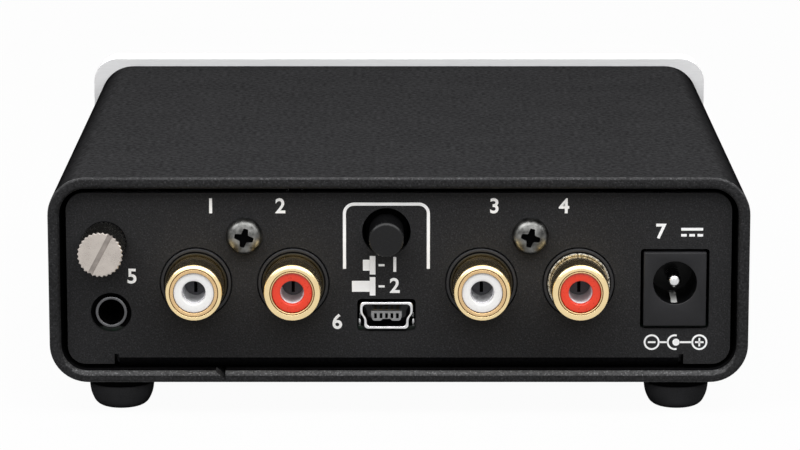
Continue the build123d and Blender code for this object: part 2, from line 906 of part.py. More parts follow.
def make_front_switch_housing(x):
    housing = switch_housing(front_body, x, front_z, front_face, -1)
    low = front_z - front_body / 2
    half = pedestal_width / 2
    return housing + block(x - half, x + half, board_front, front_face + switch_length, board_top, low)


def make_riser_board():
    rear = plate_inside - riser_start
    board = block(
        mode_x - riser_width / 2,
        mode_x + riser_width / 2,
        rear - riser_length,
        rear,
        riser_bottom,
        riser_top,
    )
    return board


header_y = plate_inside - riser_start - riser_length + header_inset
header_xs = [mode_x + (number - (header_pins - 1) / 2) * header_pitch for number in range(header_pins)]


# Two plastic strips, on the main board and under the riser, with a square hole for each pin.
def make_riser_headers():
    strips = []
    length = header_pins * header_pitch
    for low in (board_top, riser_bottom - header_height):
        strip = block(
            mode_x - length / 2,
            mode_x + length / 2,
            header_y - header_deep / 2,
            header_y + header_deep / 2,
            low,
            low + header_height,
        )
        for x in header_xs:
            half = pin_size / 2
            strip -= block(x - half, x + half, header_y - half, header_y + half, low, low + header_height)
        strips.append(strip)
    return strips


def make_header_pins():
    half = pin_size / 2
    low = header_y - half
    high = header_y + half
    return [block(x - half, x + half, low, high, board_top, riser_bottom) for x in header_xs]


# Knurled thumb screw: V-grooves cut round the head by a polar pattern, a driver slot and a shank.
def make_ground_screw():
    tip = earth_seat + earth_head_length
    head = rod(earth_head_radius, earth_seat, tip, 0, 0)
    head = chamfer(head.edges().sort_by(Axis.Y)[-1], earth_ridge_depth)
    half = math.pi * earth_head_radius / earth_ridges
    root = earth_head_radius - earth_ridge_depth
    brim = earth_head_radius + earth_ridge_depth
    groove = Polygon((root, 0), (brim, -half), (brim, half), align=None)
    cutter = slab(groove, earth_seat, tip, 0, 0)
    for number in range(earth_ridges):
        head -= Rot(0, 360 * number / earth_ridges, 0) * cutter
    slot = bar(earth_slot_width, 2 * brim, tip - earth_slot_depth, tip, 0, 0)
    head -= Rot(0, -earth_slot_angle, 0) * slot
    shank_end = plate_outside - earth_shank_length
    screw = head + rod(earth_shank_radius, shank_end, earth_seat, 0, 0)
    return Pos(earth_x, 0, earth_z) * screw


def make_ground_washer():
    low = plate_outside + washer_seat_gap
    washer = rod(washer_radius, low, low + washer_thick, earth_x, earth_z)
    return washer - rod(washer_hole, low, low + washer_thick, earth_x, earth_z)


# Bush clinched into the rear plate, bored for the earth screw.
def make_ground_bush():
    bore = earth_shank_radius + earth_run
    corners = [
        (bore, plate_outside),
        (bush_neck_radius, plate_outside),
        (bush_neck_radius, plate_inside),
        (bush_radius, plate_inside),
        (bush_radius, plate_inside - bush_length),
        (bore, plate_inside - bush_length),
    ]
    return turned(corners, earth_x, earth_z)


pot_front = flange_inside
pot_back = pot_front + pot_deep
rotor_back = pot_back - pot_wall - shaft_run


# Body of the level control: a square case on a foot, a round chamber and a threaded bushing.
def make_pot_body():
    body = bar(pot_size, pot_size, pot_front, pot_back, knob_x, front_z)
    body = chamfer(body.edges().filter_by(Axis.Y).group_by(Axis.Z)[-1], pot_wall)
    body += rod(bushing_radius, pot_front, pot_front - bushing_length, knob_x, front_z)
    low = front_z - pot_size / 2
    half = pot_foot_width / 2
    body += block(knob_x - half, knob_x + half, pot_back - pot_foot_deep, pot_back, board_top, low)
    chamber = rotor_radius + shaft_run
    body -= rod(chamber, rotor_back - rotor_thick - 2 * shaft_run, rotor_back + shaft_run, knob_x, front_z)
    return body - rod(shaft_radius + shaft_run, pot_front - bushing_length, rotor_back, knob_x, front_z)


# Shaft with a flat for the knob's screw and, inside the case, the rotor that carries the wiper.
def make_pot_shaft():
    tip = knob_back - knob_bore_deep + shaft_run
    shaft = rod(shaft_radius, tip, rotor_back, knob_x, front_z)
    flat_low = front_z + shaft_flat
    shaft -= block(
        knob_x - shaft_radius,
        knob_x + shaft_radius,
        tip,
        knob_back - knob_hollow,
        flat_low,
        front_z + shaft_radius,
    )
    return shaft + rod(rotor_radius, rotor_back - rotor_thick, rotor_back, knob_x, front_z)


def make_pot_nut():
    outline = RegularPolygon(nut_flats / 2, 6, major_radius=False)
    nut = slab(outline, sleeve_front, sleeve_front - pot_nut_thick, knob_x, front_z)
    return nut - rod(bushing_radius, sleeve_front, sleeve_front - pot_nut_thick, knob_x, front_z)


# Turned knob with a hollow skirt, a bored hub, a pointer groove and a tapped hole for its screw.
def make_gain_knob():
    knob = rod(knob_radius, knob_back, knob_face, knob_x, front_z)
    knob = chamfer(knob.edges().sort_by(Axis.Y)[0], knob_chamfer)
    hollow = rod(knob_radius - knob_skirt_wall, knob_back, knob_back - knob_hollow, knob_x, front_z)
    knob -= hollow - rod(knob_hub_radius, knob_back, knob_back - knob_hollow, knob_x, front_z)
    knob -= rod(shaft_radius + fit_gap, knob_back, knob_back - knob_bore_deep, knob_x, front_z)
    pointer_low = front_z + pointer_start
    knob -= block(
        knob_x - pointer_width / 2,
        knob_x + pointer_width / 2,
        knob_face,
        knob_face + pointer_depth,
        pointer_low,
        front_z + knob_radius,
    )
    return knob - post(grub_radius, front_z, front_z + knob_radius, knob_x, knob_back - grub_place)


def make_knob_grub_screw():
    low = front_z + shaft_flat
    high = front_z + knob_radius - knob_chamfer
    return post(grub_radius, low, high, knob_x, knob_back - grub_place)


# Lamp with a bevelled lens, a flange behind the panel's step and two leads bent down to the board.
def make_led(x):
    tip = panel_face - led_proud
    base = tip + led_length
    corners = [
        (0, tip),
        (led_radius - led_bevel, tip),
        (led_radius, tip + led_bevel),
        (led_radius, base - led_flange),
        (led_flange_radius, base - led_flange),
        (led_flange_radius, base),
        (0, base),
    ]
    lens = turned(corners, x, front_z)
    leads = []
    for side in (-1, 1):
        lead_x = x + side * led_lead_pitch / 2
        bend_y = base + led_lead_run
        lead = bar(led_lead, led_lead, base, bend_y, lead_x, front_z)
        lead += block(
            lead_x - led_lead / 2,
            lead_x + led_lead / 2,
            bend_y - led_lead,
            bend_y,
            board_top,
            front_z + led_lead / 2,
        )
        leads.append(lead)
    return lens, leads


# Places in columns that run forward from a first part near the board's rear edge.
def column(x, start, pitch, count):
    return [(x, board_rear - start - pitch * row) for row in range(count)]


can_x = power_x + can_step
can_places = column(can_x, can_start, can_pitch, can_rows)
can_places += column(can_x + can_pitch, can_start, can_pitch, can_rows)
film_places = column(film_x, film_start, film_pitch, film_rows)
film_places += column(film_x + film_column, film_start, film_pitch, film_rows)
chip_places = column(input_pair_x + chip_step, chip_start, chip_pitch, chip_count)
relay_places = [(input_pair_x + side * relay_step, board_rear - relay_start) for side in (-1, 1)]
resistor_places = column(board_half - resistor_side_inset, resistor_start, resistor_pitch, resistor_count)
codec_place = (codec_x, board_rear - codec_start)
crystal_place = (codec_x, board_rear - crystal_start)
regulator_place = (regulator_side_inset - board_half, board_rear - regulator_start)


def make_electrolytic_capacitors():
    can = post(can_radius, board_top, board_top + can_height, 0, 0)
    can = chamfer(can.edges().sort_by(Axis.Z)[-1], can_edge)
    return [Pos(x, y, 0) * can for x, y in can_places]


def make_film_capacitors():
    top = board_top + film_height
    film = block(-film_width / 2, film_width / 2, -film_thick / 2, film_thick / 2, board_top, top)
    film = chamfer(film.edges().group_by(Axis.Z)[-1], film_edge)
    return [Pos(x, y, 0) * film for x, y in film_places]


# Dual-in-line amplifier with a notch at one end and four bent leads a side.
def make_op_amps():
    low = board_top + chip_lift
    body = block(-chip_width / 2, chip_width / 2, -chip_length / 2, chip_length / 2, low, low + chip_height)
    body -= post(chip_lift, low + chip_height / 2, low + chip_height, 0, chip_length / 2)
    for side in (-1, 1):
        for number in range(chip_leads):
            y = (number - (chip_leads - 1) / 2) * chip_lead_pitch
            x0 = side * chip_width / 2
            x1 = side * (chip_width / 2 + chip_lift)
            body += block(x0, x1, y - chip_lift, y + chip_lift, board_top, low + chip_height / 2)
    return [Pos(x, y, 0) * body for x, y in chip_places]


def make_codec_chip():
    half_width = codec_width / 2
    low = board_top + codec_lift
    body = block(-codec_length / 2, codec_length / 2, -half_width, half_width, low, board_top + codec_height)
    for side in (-1, 1):
        for number in range(codec_leads):
            x = (number - (codec_leads - 1) / 2) * codec_lead_pitch
            y0 = side * half_width
            y1 = side * (half_width + codec_lead_reach)
            half = codec_lead_width / 2
            body += block(x - half, x + half, y0, y1, board_top, board_top + codec_lead_rise)
    return Pos(codec_place[0], codec_place[1], 0) * body


def make_crystal():
    outline = RectangleRounded(crystal_length, crystal_width, crystal_corner)
    can = extrude(outline, amount=crystal_height)
    can = chamfer(can.edges().group_by(Axis.Z)[-1], crystal_edge)
    return Pos(crystal_place[0], crystal_place[1], board_top) * can


# Upright regulator: a moulded body on three legs with a drilled metal tab behind it.
def make_voltage_regulator():
    low = board_top + regulator_leg
    top = low + regulator_height
    half = regulator_width / 2
    body = block(-half, half, -regulator_thick, 0, low, top)
    tab = block(-half, half, -regulator_tab_thick, 0, top, top + regulator_tab)
    body += tab - rod(regulator_hole, -regulator_tab_thick, 0, 0, top + regulator_tab / 2)
    for number in (-1, 0, 1):
        x = number * regulator_leg_pitch
        leg = led_lead / 2
        body += block(x - leg, x + leg, -regulator_thick / 2 - leg, -regulator_thick / 2 + leg, board_top, low)
    return Pos(regulator_place[0], regulator_place[1], 0) * body


def make_relays():
    outline = Box(relay_width, relay_length, relay_height, align=(Align.CENTER, Align.CENTER, Align.MIN))
    relay = chamfer(outline.edges().group_by(Axis.Z)[-1], relay_edge)
    return [Pos(x, y, board_top) * relay for x, y in relay_places]


# Axial resistor held just above the board on two leads.
def make_resistors():
    middle = board_top + resistor_lift + resistor_radius
    body = Pos(0, 0, middle) * Rot(0, 90, 0) * Cylinder(resistor_radius, resistor_length)
    for side in (-1, 1):
        inner = side * resistor_length / 2
        outer = side * (resistor_length / 2 + resistor_reach)
        half = resistor_lead / 2
        body += block(inner, outer, -half, half, middle - half, middle + half)
        body += block(outer - side * resistor_lead, outer, -half, half, board_top, middle + half)
    return [Pos(x, y, 0) * body for x, y in resistor_places]


def build_parts():
    power_lens, power_leads = make_led(power_led_x)
    level_lens, level_leads = make_led(level_led_x)
    parts = {
        "sleeve_cover": make_sleeve_cover(),
        "front_panel": make_front_panel(),
        "chassis_tray": make_chassis_tray(),
        "feet": make_feet(),
        "foot_studs": make_foot_studs(),
        "clinch_nuts": make_clinch_nuts(),
        "panel_screws": make_panel_screws(),
        "main_board": make_main_board(),
        "board_standoffs": make_board_standoffs(),
        "board_screws": make_board_screws(),
        "input_socket_housing": make_socket_housing(input_pair_x),
        "output_socket_housing": make_socket_housing(output_pair_x),
        "socket_barrels": make_socket_barrels(),
        "white_insulators": make_insulators(left_socket_xs),
        "red_insulators": make_insulators(right_socket_xs),
        "socket_center_contacts": make_center_contacts(),
        "socket_screws": make_socket_screws(),
        "power_jack_body": make_power_jack_body(),
        "power_jack_pin": make_power_jack_pin(),
        "power_jack_spring": make_power_jack_spring(),
        "usb_shell": make_usb_shell(),
        "usb_tongue": make_usb_tongue(),
        "usb_contacts": make_usb_contacts(),
        "line_jack_body": make_line_jack_body(),
        "line_jack_ferrule": make_line_jack_ferrule(),
        "line_jack_contacts": make_line_jack_contacts(),
        "mode_switch_housing": switch_housing(mode_body, mode_x, mode_z, mode_face, 1),
        "mode_switch_plunger": switch_plunger(mode_body, mode_x, mode_z, mode_face, 1, mode_cap_back),
        "mode_button": switch_cap(mode_cap_radius, mode_x, mode_z, mode_cap_back, mode_cap_face, 1),
        "riser_board": make_riser_board(),
        "riser_headers": make_riser_headers(),
        "header_pins": make_header_pins(),
        "ground_screw": make_ground_screw(),
        "ground_washer": make_ground_washer(),
        "ground_bush": make_ground_bush(),
        "gain_pot_body": make_pot_body(),
        "gain_pot_shaft": make_pot_shaft(),
        "gain_pot_nut": make_pot_nut(),
        "gain_knob": make_gain_knob(),
        "knob_grub_screw": make_knob_grub_screw(),
        "power_led": power_lens,
        "level_led": level_lens,
        "led_leads": power_leads + level_leads,
        "electrolytic_capacitors": make_electrolytic_capacitors(),
        "film_capacitors": make_film_capacitors(),
        "op_amps": make_op_amps(),
        "usb_codec_chip": make_codec_chip(),
        "crystal": make_crystal(),
        "voltage_regulator": make_voltage_regulator(),
        "relays": make_relays(),
        "resistors": make_resistors(),
    }
    for name, x in (("power", power_button_x), ("input", input_button_x)):
        parts[name + "_switch_housing"] = make_front_switch_housing(x)
        parts[name + "_switch_plunger"] = switch_plunger(front_body, x, front_z, front_face, -1, front_cap_back)
        parts[name + "_button"] = switch_cap(front_cap_radius, x, front_z, front_cap_back, front_cap_face, -1)
    return parts


os.makedirs("parts", exist_ok=True)
for name, shape in build_parts().items():
    whole = Compound(children=shape) if isinstance(shape, list) else shape
    export_step(whole, "parts/" + name + ".step")
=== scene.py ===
import json
import math

import bmesh
import bpy
from mathutils import Matrix, Vector


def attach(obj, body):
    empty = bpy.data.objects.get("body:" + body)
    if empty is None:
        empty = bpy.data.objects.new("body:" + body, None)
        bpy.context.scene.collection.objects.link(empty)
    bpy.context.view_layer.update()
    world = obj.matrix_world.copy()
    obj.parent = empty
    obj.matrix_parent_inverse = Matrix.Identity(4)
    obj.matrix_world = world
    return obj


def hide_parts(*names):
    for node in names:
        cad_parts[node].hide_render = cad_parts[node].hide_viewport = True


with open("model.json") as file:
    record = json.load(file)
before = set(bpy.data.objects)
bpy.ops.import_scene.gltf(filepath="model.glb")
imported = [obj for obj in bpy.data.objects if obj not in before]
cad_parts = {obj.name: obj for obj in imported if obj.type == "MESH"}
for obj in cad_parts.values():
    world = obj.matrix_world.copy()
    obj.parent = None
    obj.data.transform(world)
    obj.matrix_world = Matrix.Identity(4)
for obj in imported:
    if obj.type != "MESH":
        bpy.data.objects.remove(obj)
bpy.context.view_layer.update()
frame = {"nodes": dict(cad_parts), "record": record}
mm = 0.001
nodes = frame["nodes"]


# shader and mesh helpers


class Flow:  # a shader socket that can be added, multiplied and fed on
    def __init__(self, tree, socket=None):
        self.tree = tree
        self.socket = socket

    def node(self, kind, settings=None, values=None, output=0):
        made = self.tree.nodes.new(kind)
        for key, setting in (settings or {}).items():
            setattr(made, key, setting)
        for key, value in (values or {}).items():
            if isinstance(value, Flow):
                self.tree.links.new(value.socket, made.inputs[key])
            else:
                made.inputs[key].default_value = value
        return Flow(self.tree, made.outputs[output] if made.outputs else None)

    def maths(self, operation, first, second):
        return self.node("ShaderNodeMath", {"operation": operation}, {0: first, 1: second})

    def __add__(self, other):
        return self.maths("ADD", self, other)

    def __radd__(self, other):
        return self.maths("ADD", other, self)

    def __sub__(self, other):
        return self.maths("SUBTRACT", self, other)

    def __mul__(self, other):
        return self.maths("MULTIPLY", self, other)

    def spots(self, stretch=(1, 1, 1)):  # places on the piece; a share under 1 draws the pattern out along that axis
        coords = self.node("ShaderNodeTexCoord", output="Object")
        return self.node("ShaderNodeMapping", {}, {"Vector": coords, "Scale": stretch})

    def noise(self, size, stretch=(1, 1, 1), detail=2.0):  # features of size mm, values round 0.5
        values = {"Vector": self.spots(stretch), "Scale": 1 / (size * mm), "Detail": detail}
        return self.node("ShaderNodeTexNoise", {}, values)

    def between(self, low, high):  # 0 at low, 1 at high, and even in between
        return self.node("ShaderNodeMapRange", {}, {0: self, 1: low, 2: high, 3: 0.0, 4: 1.0})

    def tint(self, dark, light):  # from one colour at 0 to the other at 1
        return self.node("ShaderNodeMix", {"data_type": "RGBA"}, {0: self, 6: dark, 7: light}, 2)

    def bump(self, height):  # height in mm
        return self.node("ShaderNodeBump", {}, {"Strength": 1.0, "Distance": height * mm, "Height": self})


def seen(red, green, blue, gain=1.0):  # a colour from 0-255 as seen, to the shader's own
    def one(value):
        part = value / 255
        return gain * (part / 12.92 if part <= 0.04045 else ((part + 0.055) / 1.055) ** 2.4)

    return (one(red), one(green), one(blue), 1.0)


def startFinish(name):
    made = bpy.data.materials.new(name)
    made.use_nodes = True
    made.node_tree.nodes.clear()
    return made, Flow(made.node_tree)


def endFinish(flow, values):
    flow.node("ShaderNodeOutputMaterial", {}, {"Surface": flow.node("ShaderNodeBsdfPrincipled", {}, values)})


def coated(name, tone, powder):  # textured powder coat
    made, flow = startFinish(name)
    pebble = flow.noise(powder["pebble"], detail=1.5)
    cloud = flow.noise(powder["cloud"])
    fleck = flow.noise(powder["fleck"], detail=0.0).between(0.62, 0.75)
    mixed = (pebble * 0.86 + cloud * 0.14).between(0.3, 0.7)
    body = mixed.tint(seen(*tone, powder["low"]), seen(*tone, powder["high"]))
    colour = (fleck * powder["fleckShare"]).tint(body, seen(*tone, powder["fleckGain"]))
    if "sideShade" in powder:  # painted shade: the tone is darkened round the long corners and on the sides, where less light falls
        start, end, share = powder["sideShade"]
        across = flow.node("ShaderNodeSeparateXYZ", {}, {"Vector": flow.spots()})
        turned = flow.node("ShaderNodeMath", {"operation": "ABSOLUTE"}, {0: across}).between(start * mm, end * mm)
        colour = turned.tint(colour, seen(*tone, share))
    endFinish(
        flow,
        {
            "Base Color": colour,
            "Roughness": powder["rough"] + (pebble - 0.5) * 0.2,
            "Specular IOR Level": powder["level"],
            "Normal": (pebble + cloud * 0.4).bump(powder["depth"]),
        },
    )
    return made


def plated(name, tone, rough, tarnish=0.25, marks=0.02, patch=1.6):  # bright metal with faint clouds and fine marks
    made, flow = startFinish(name)
    cloud = flow.noise(patch, detail=4.0)
    mark = flow.noise(0.05, (1, 0.04, 1), detail=3.0)
    fine = flow.noise(0.12)
    colour = cloud.between(0.35, 0.7).tint(seen(*tone, 1 - tarnish), seen(*tone))
    endFinish(
        flow,
        {
            "Base Color": colour,
            "Metallic": 1.0,
            "Roughness": rough + (fine - 0.5) * 0.2 + (cloud - 0.5) * 0.12,
            "Normal": (mark * 0.5 + fine * 0.5).bump(marks),
        },
    )
    return made


def brushed(name, tone, along, metal=0.35, rough=0.42):  # aluminium rubbed along one axis, then anodised
    made, flow = startFinish(name)
    line = flow.noise(0.08, along, detail=4.0)
    cloud = flow.noise(12.0)
    mixed = (line * 0.8 + cloud * 0.2).between(0.25, 0.75)
    endFinish(
        flow,
        {
            "Base Color": mixed.tint(seen(*tone, 0.9), seen(*tone, 1.04)),
            "Metallic": metal,
            "Roughness": rough + (line - 0.5) * 0.25,
            "Normal": line.bump(0.01),
        },
    )
    return made


def moulded(name, tone, rough=0.42, grain=0.25, depth=0.01, vary=0.2, level=0.4, coat=0.0):  # moulded plastic
    made, flow = startFinish(name)
    fine = flow.noise(grain, detail=3.0)
    cloud = flow.noise(4.0)
    colour = (fine * 0.5 + cloud * 0.5).between(0.3, 0.7).tint(seen(*tone, 1 - vary), seen(*tone, 1 + vary * 0.5))
    endFinish(
        flow,
        {
            "Base Color": colour,
            "Roughness": rough + (fine - 0.5) * 0.2,
            "Specular IOR Level": level,
            "Coat Weight": coat,
            "Coat Roughness": 0.12,
            "Normal": fine.bump(depth),
        },
    )
    return made


def lensed(name, tone):  # a clear tinted lamp with a paler core
    made, flow = startFinish(name)
    cloud = flow.noise(0.9, detail=3.0)
    fine = flow.noise(0.2)
    endFinish(
        flow,
        {
            "Base Color": cloud.between(0.35, 0.65).tint(seen(*tone, 0.8), seen(*tone)),
            "Roughness": 0.12 + fine * 0.1,
            "Transmission Weight": 0.55,
            "IOR": 1.5,
            "Normal": cloud.bump(0.02),
        },
    )
    return made


tracks = {"Scale": 180.0, "Mortar Size": 0.06, "Brick Width": 1.6, "Row Height": 0.34}


def laminate(name, tone, track):  # solder mask over copper tracks
    made, flow = startFinish(name)
    weave = flow.noise(0.3)
    lines = flow.node("ShaderNodeTexBrick", {"offset": 0.37}, {"Vector": flow.spots(), **tracks}, "Fac")
    ground = weave.between(0.3, 0.7).tint(seen(*tone, 0.8), seen(*tone, 1.15))
    endFinish(
        flow,
        {
            "Base Color": (lines * 0.8).tint(ground, seen(*track)),
            "Roughness": 0.3 + weave * 0.12,
            "Normal": (lines * 0.6 + weave * 0.1).bump(0.03),
        },
    )
    return made


powderTop = {  # pebble, cloud, fleck and depth in mm; low, high and fleckGain times the tone
    "pebble": 0.5,
    "cloud": 9.0,
    "fleck": 0.22,
    "fleckShare": 0.16,
    "fleckGain": 4.0,
    "low": 0.7,
    "high": 1.3,
    "rough": 0.65,
    "level": 0.0,
    "depth": 0.04,
}
# painted side shade: where the tone starts and ends to fall off, in mm, and the share that is left
powderSleeve = {**powderTop, "pebble": 0.7, "low": 0.58, "high": 1.44, "sideShade": (46.4, 49.4, 0.18)}
powderPlate = {
    **powderTop,
    "pebble": 0.24,
    "fleck": 0.17,
    "fleckShare": 0.22,
    "low": 0.72,
    "rough": 0.6,
    "level": 0.05,
    "depth": 0.05,
}
powderEdge = {
    **powderTop,
    "pebble": 0.4,
    "fleck": 0.25,
    "fleckShare": 0.5,
    "low": 0.6,
    "high": 1.5,
    "rough": 0.5,
    "level": 0.1,
    "depth": 0.12,
}

# plated: tone, rough, tarnish, marks, patch; brushed: tone, along, metal, rough
# moulded: tone, rough, grain, depth, vary, level, coat
finishes = {
    "sleeve_paint": coated("sleevePowder", (49, 49, 50), powderSleeve),
    "tray_paint": coated("trayPowder", (41, 41, 42), powderPlate),
    "panel_aluminium": brushed("panelAluminium", (210, 210, 212), (0.03, 1, 1)),
    "knob_aluminium": brushed("knobAluminium", (200, 201, 203), (1, 0.2, 1), 0.7, 0.32),
    "foot_rubber": moulded("footRubber", (66, 66, 68), 0.7, 0.16, 0.02, 0.3, 0.0),
    "zinc_steel": plated("zincSteel", (186, 190, 190), 0.34),
    "dark_nickel": plated("darkNickel", (126, 126, 124), 0.32, 0.75, 0.02, 1.1),
    "light_nickel": plated("lightNickel", (186, 178, 171), 0.3, 0.1),
    "gold_plate": plated("goldPlate", (238, 214, 164), 0.2, 0.06, 0.004),
    "gold_contact": plated("contactGold", (150, 128, 84), 0.3),
    "white_plastic": moulded("whiteInsulator", (252, 251, 249), 0.3, 0.4, 0.004, 0.03, 0.5, 0.2),
    "red_plastic": moulded("redInsulator", (240, 58, 22), 0.3, 0.4, 0.004, 0.1, 0.5, 0.2),
    "black_plastic": moulded("blackMoulding", (40, 40, 42), 0.45, 0.2, 0.012, 0.3, 0.25),
    "black_caps": moulded("buttonBlack", (20, 20, 21), 0.25, 0.3, 0.004, 0.15, 0.2),
    "grey_caps": brushed("capAluminium", (196, 197, 199), (1, 0.2, 1), 0.7, 0.32),
    "white_plungers": moulded("plungerWhite", (228, 227, 222), 0.4, 0.3, 0.008, 0.08),
    "bright_steel": plated("tinnedSteel", (222, 222, 223), 0.22),
    "tongue_grey": moulded("tongueGrey", (152, 153, 154), 0.45, 0.2, 0.008, 0.15),
    "board_green": laminate("boardGreen", (9, 26, 17), (18, 46, 30)),
    "pot_body": moulded("controlBody", (60, 92, 84), 0.4, 0.25, 0.01),
    "shaft_metal": plated("shaftMetal", (212, 212, 212), 0.3),
    "blue_lens": lensed("blueLens", (190, 212, 246)),
    "amber_lens": lensed("amberLens", (248, 200, 128)),
    "can_sleeve": moulded("canSleeve", (42, 46, 74), 0.28, 0.5, 0.006, 0.15, 0.5, 0.3),
    "film_resin": moulded("filmResin", (176, 52, 42), 0.25, 0.8, 0.03, 0.15, 0.5, 0.3),
    "chip_resin": moulded("chipResin", (44, 44, 46), 0.55, 0.12, 0.02, 0.3, 0.3),
    "relay_shell": moulded("relayShell", (226, 226, 222), 0.35, 0.5, 0.008, 0.06),
    "resistor_body": moulded("resistorLacquer", (128, 178, 200), 0.3, 0.5, 0.02, 0.2, 0.5, 0.2),
}
# painted light on the open ends' rims: a lighter powder as painted highlight on the up-facing rounding, a lighter one
# still on the lower rim's inner rounding, and a darker one as painted shade on the rest of the rim
rimHighlight = coated("rimHighlightPowder", (54, 54, 55), powderEdge)
rimLowHighlight = coated("rimLowHighlightPowder", (72, 72, 73), powderEdge)
rimFaceShade = coated("rimFaceShadePowder", (33, 33, 34), powderEdge)
# painted shade: a near-black powder on the sleeve's inside walls, which lie in shade
sleeveInsideShade = coated("sleeveInsideShadePowder", (14, 14, 15), powderTop)
# painted shade: a near-black powder laid where shade falls, on the rear plate's lower bend, on the earth screw's washer
# and on the feet's tops under the case
paintedShade = coated("paintedShadePowder", (12, 12, 13), powderTop)
# painted highlight: a near-white copy of the panel aluminium for the panel's up-facing faces, lit from above
panelHighlightTop = brushed("panelHighlightTopEdge", (246, 246, 246), (0.03, 1, 1), 0.5)
panelBack = brushed("panelBackSide", (226, 226, 227), (0.03, 1, 1), 0.08, 0.6)
powerFace = moulded("powerFace", (31, 31, 33), 0.45, 0.2, 0.012, 0.3, 0.2)
# painted shade: a dark brown copy of the gold plate in the lip's groove and on the barrel's mouth
goldShade = plated("goldGrooveShade", (112, 80, 44), 0.4)
goldInner = plated("goldInnerLip", (218, 184, 136), 0.28, 0.1, 0.004)
flangeBright = plated("flangeBrightRing", (206, 202, 190), 0.3, 0.95, 0.06, 0.3)
steelPaintedShade = plated("steelPaintedShade", (66, 66, 68), 0.4)
holePaintedShade = moulded("holePaintedShade", (8, 8, 9), 0.35, 0.6, 0.002, 0.2, 0.15)
whiteInk = moulded("whiteInk", (255, 255, 255), 0.6, 0.3, 0.004, 0.02, 0.4)
darkInk = moulded("darkInk", (58, 59, 62), 0.6, 0.3, 0.004, 0.1, 0.3)
# painted shade: a near-black finish for recesses, gaps, slots and holes, and for parts seen only through them
recessShade = moulded("recessPaintedShade", (10, 10, 11), 0.7, 0.2, 0.02, 0.3, 0.02)
ferruleDark = plated("ferruleNickel", (92, 92, 94), 0.24)
# dark flange finish whose brown tint is a painted reflection of the gold barrels
flangeReflection = plated("flangePaintedReflection", (52, 49, 42), 0.36)
plugGrey = moulded("contactEnd", (96, 96, 100), 0.5, 0.3, 0.02, 0.4)
# painted light: a pale, almost matt copy of the contacts' tin for the tube's inner wall, so its lit lower part shows
# bright
contactBorePaintedLight = brushed("contactBorePaintedLight", (232, 232, 234), (1, 0.2, 1), 0.1, 0.5)
# painted highlight: a pale matt finish on the power socket's spring leaf, standing in for the streak of light along the
# bore's bottom
leafHighlight = brushed("leafHighlight", (190, 190, 188), (0.2, 1, 1), 0.15, 0.4)
contactTin = plated("contactTin", (182, 180, 184), 0.4)

slotOf = {part["node"]: part["material_slot"] for part in frame["record"]["subparts"]}
bodyOf = {node: body for body, group in frame["record"]["behaviour"]["bodies"].items() for node in group}
# painted shade: these nodes sit hidden or in shade and get black finishes in place of their own
darker = {
    "mode_switch_housing": recessShade,  # painted shade: black, in the shade behind the button's hole
    "mode_switch_plunger": recessShade,
    "clinch_nuts": steelPaintedShade,
    "foot_studs": steelPaintedShade,
}
for node, slot in slotOf.items():
    for holder in nodes[node].material_slots:
        holder.material = darker.get(node, finishes[slot])
print("finishes laid on", len(nodes), "nodes")


# making pieces


def asMesh(shape, name):
    mesh = bpy.data.meshes.new(name)
    shape.to_mesh(mesh)
    shape.free()
    return mesh


def asObject(mesh):
    made = bpy.data.objects.new(mesh.name, mesh)
    bpy.context.scene.collection.objects.link(made)
    return made


def copyInto(shape, mark, shift):  # adds a small shape at a place in mm, and leaves the small one as it was
    held = bpy.data.meshes.new("held")
    mark.to_mesh(held)
    held.transform(Matrix.Translation([value * mm for value in shift]))
    shape.from_mesh(held)
    bpy.data.meshes.remove(held)


def laidOut(mark, places):  # one copy at each (x, y, z)
    shape = bmesh.new()
    for place in places:
        copyInto(shape, mark, place)
    mark.free()
    return shape


def cutAway(shape, tool):  # takes one closed shape out of another
    pair = [asObject(asMesh(part, "cutPart")) for part in (shape, tool)]
    work = pair[0].modifiers.new("cut", "BOOLEAN")
    work.operation = "DIFFERENCE"
    work.solver = "EXACT"
    work.object = pair[1]
    graph = bpy.context.evaluated_depsgraph_get()
    cut = bpy.data.meshes.new_from_object(pair[0].evaluated_get(graph))
    result = bmesh.new()
    result.from_mesh(cut)
    for part in pair:
        bpy.data.meshes.remove(part.data)
    bpy.data.meshes.remove(cut)
    return result


def only(parts, kind):
    return [part for part in parts if isinstance(part, kind)]


def turnBy(shape, angle, axis, points=None):
    spin = Matrix.Rotation(angle, 3, axis)
    bmesh.ops.rotate(shape, cent=(0, 0, 0), matrix=spin, verts=points or shape.verts[:])


def shiftBy(shape, way, points=None):  # in mm
    bmesh.ops.translate(shape, vec=[value * mm for value in way], verts=points or shape.verts[:])


def turnedShape(corners, segments, sweep=math.tau, start=0.0):  # (radius, along Y, rounding) in mm
    shape = bmesh.new()
    points = [shape.verts.new((radius * mm, along * mm, 0.0)) for radius, along, rounding in corners]
    back = points[:1] if corners[0][0] else []  # an outline that starts on the middle line stays open there
    for first, second in zip(points, points[1:] + back):
        shape.edges.new((first, second))
    for point, corner in zip(points, corners):
        if corner[2]:
            bmesh.ops.bevel(
                shape, geom=[point], offset=corner[2] * mm, affect="VERTICES", segments=4, profile=0.5, material=-1
            )
    turnBy(shape, start, "Y")
    whole = sweep == math.tau
    parts = shape.verts[:] + shape.edges[:]
    bmesh.ops.spin(shape, geom=parts, cent=(0, 0, 0), axis=(0, 1, 0), angle=sweep, steps=segments, use_merge=whole)
    bmesh.ops.remove_doubles(shape, verts=shape.verts[:], dist=0.0005 * mm)
    bmesh.ops.holes_fill(shape, edges=[edge for edge in shape.edges if edge.is_boundary])
    bmesh.ops.recalc_face_normals(shape, faces=shape.faces[:])
    return shape


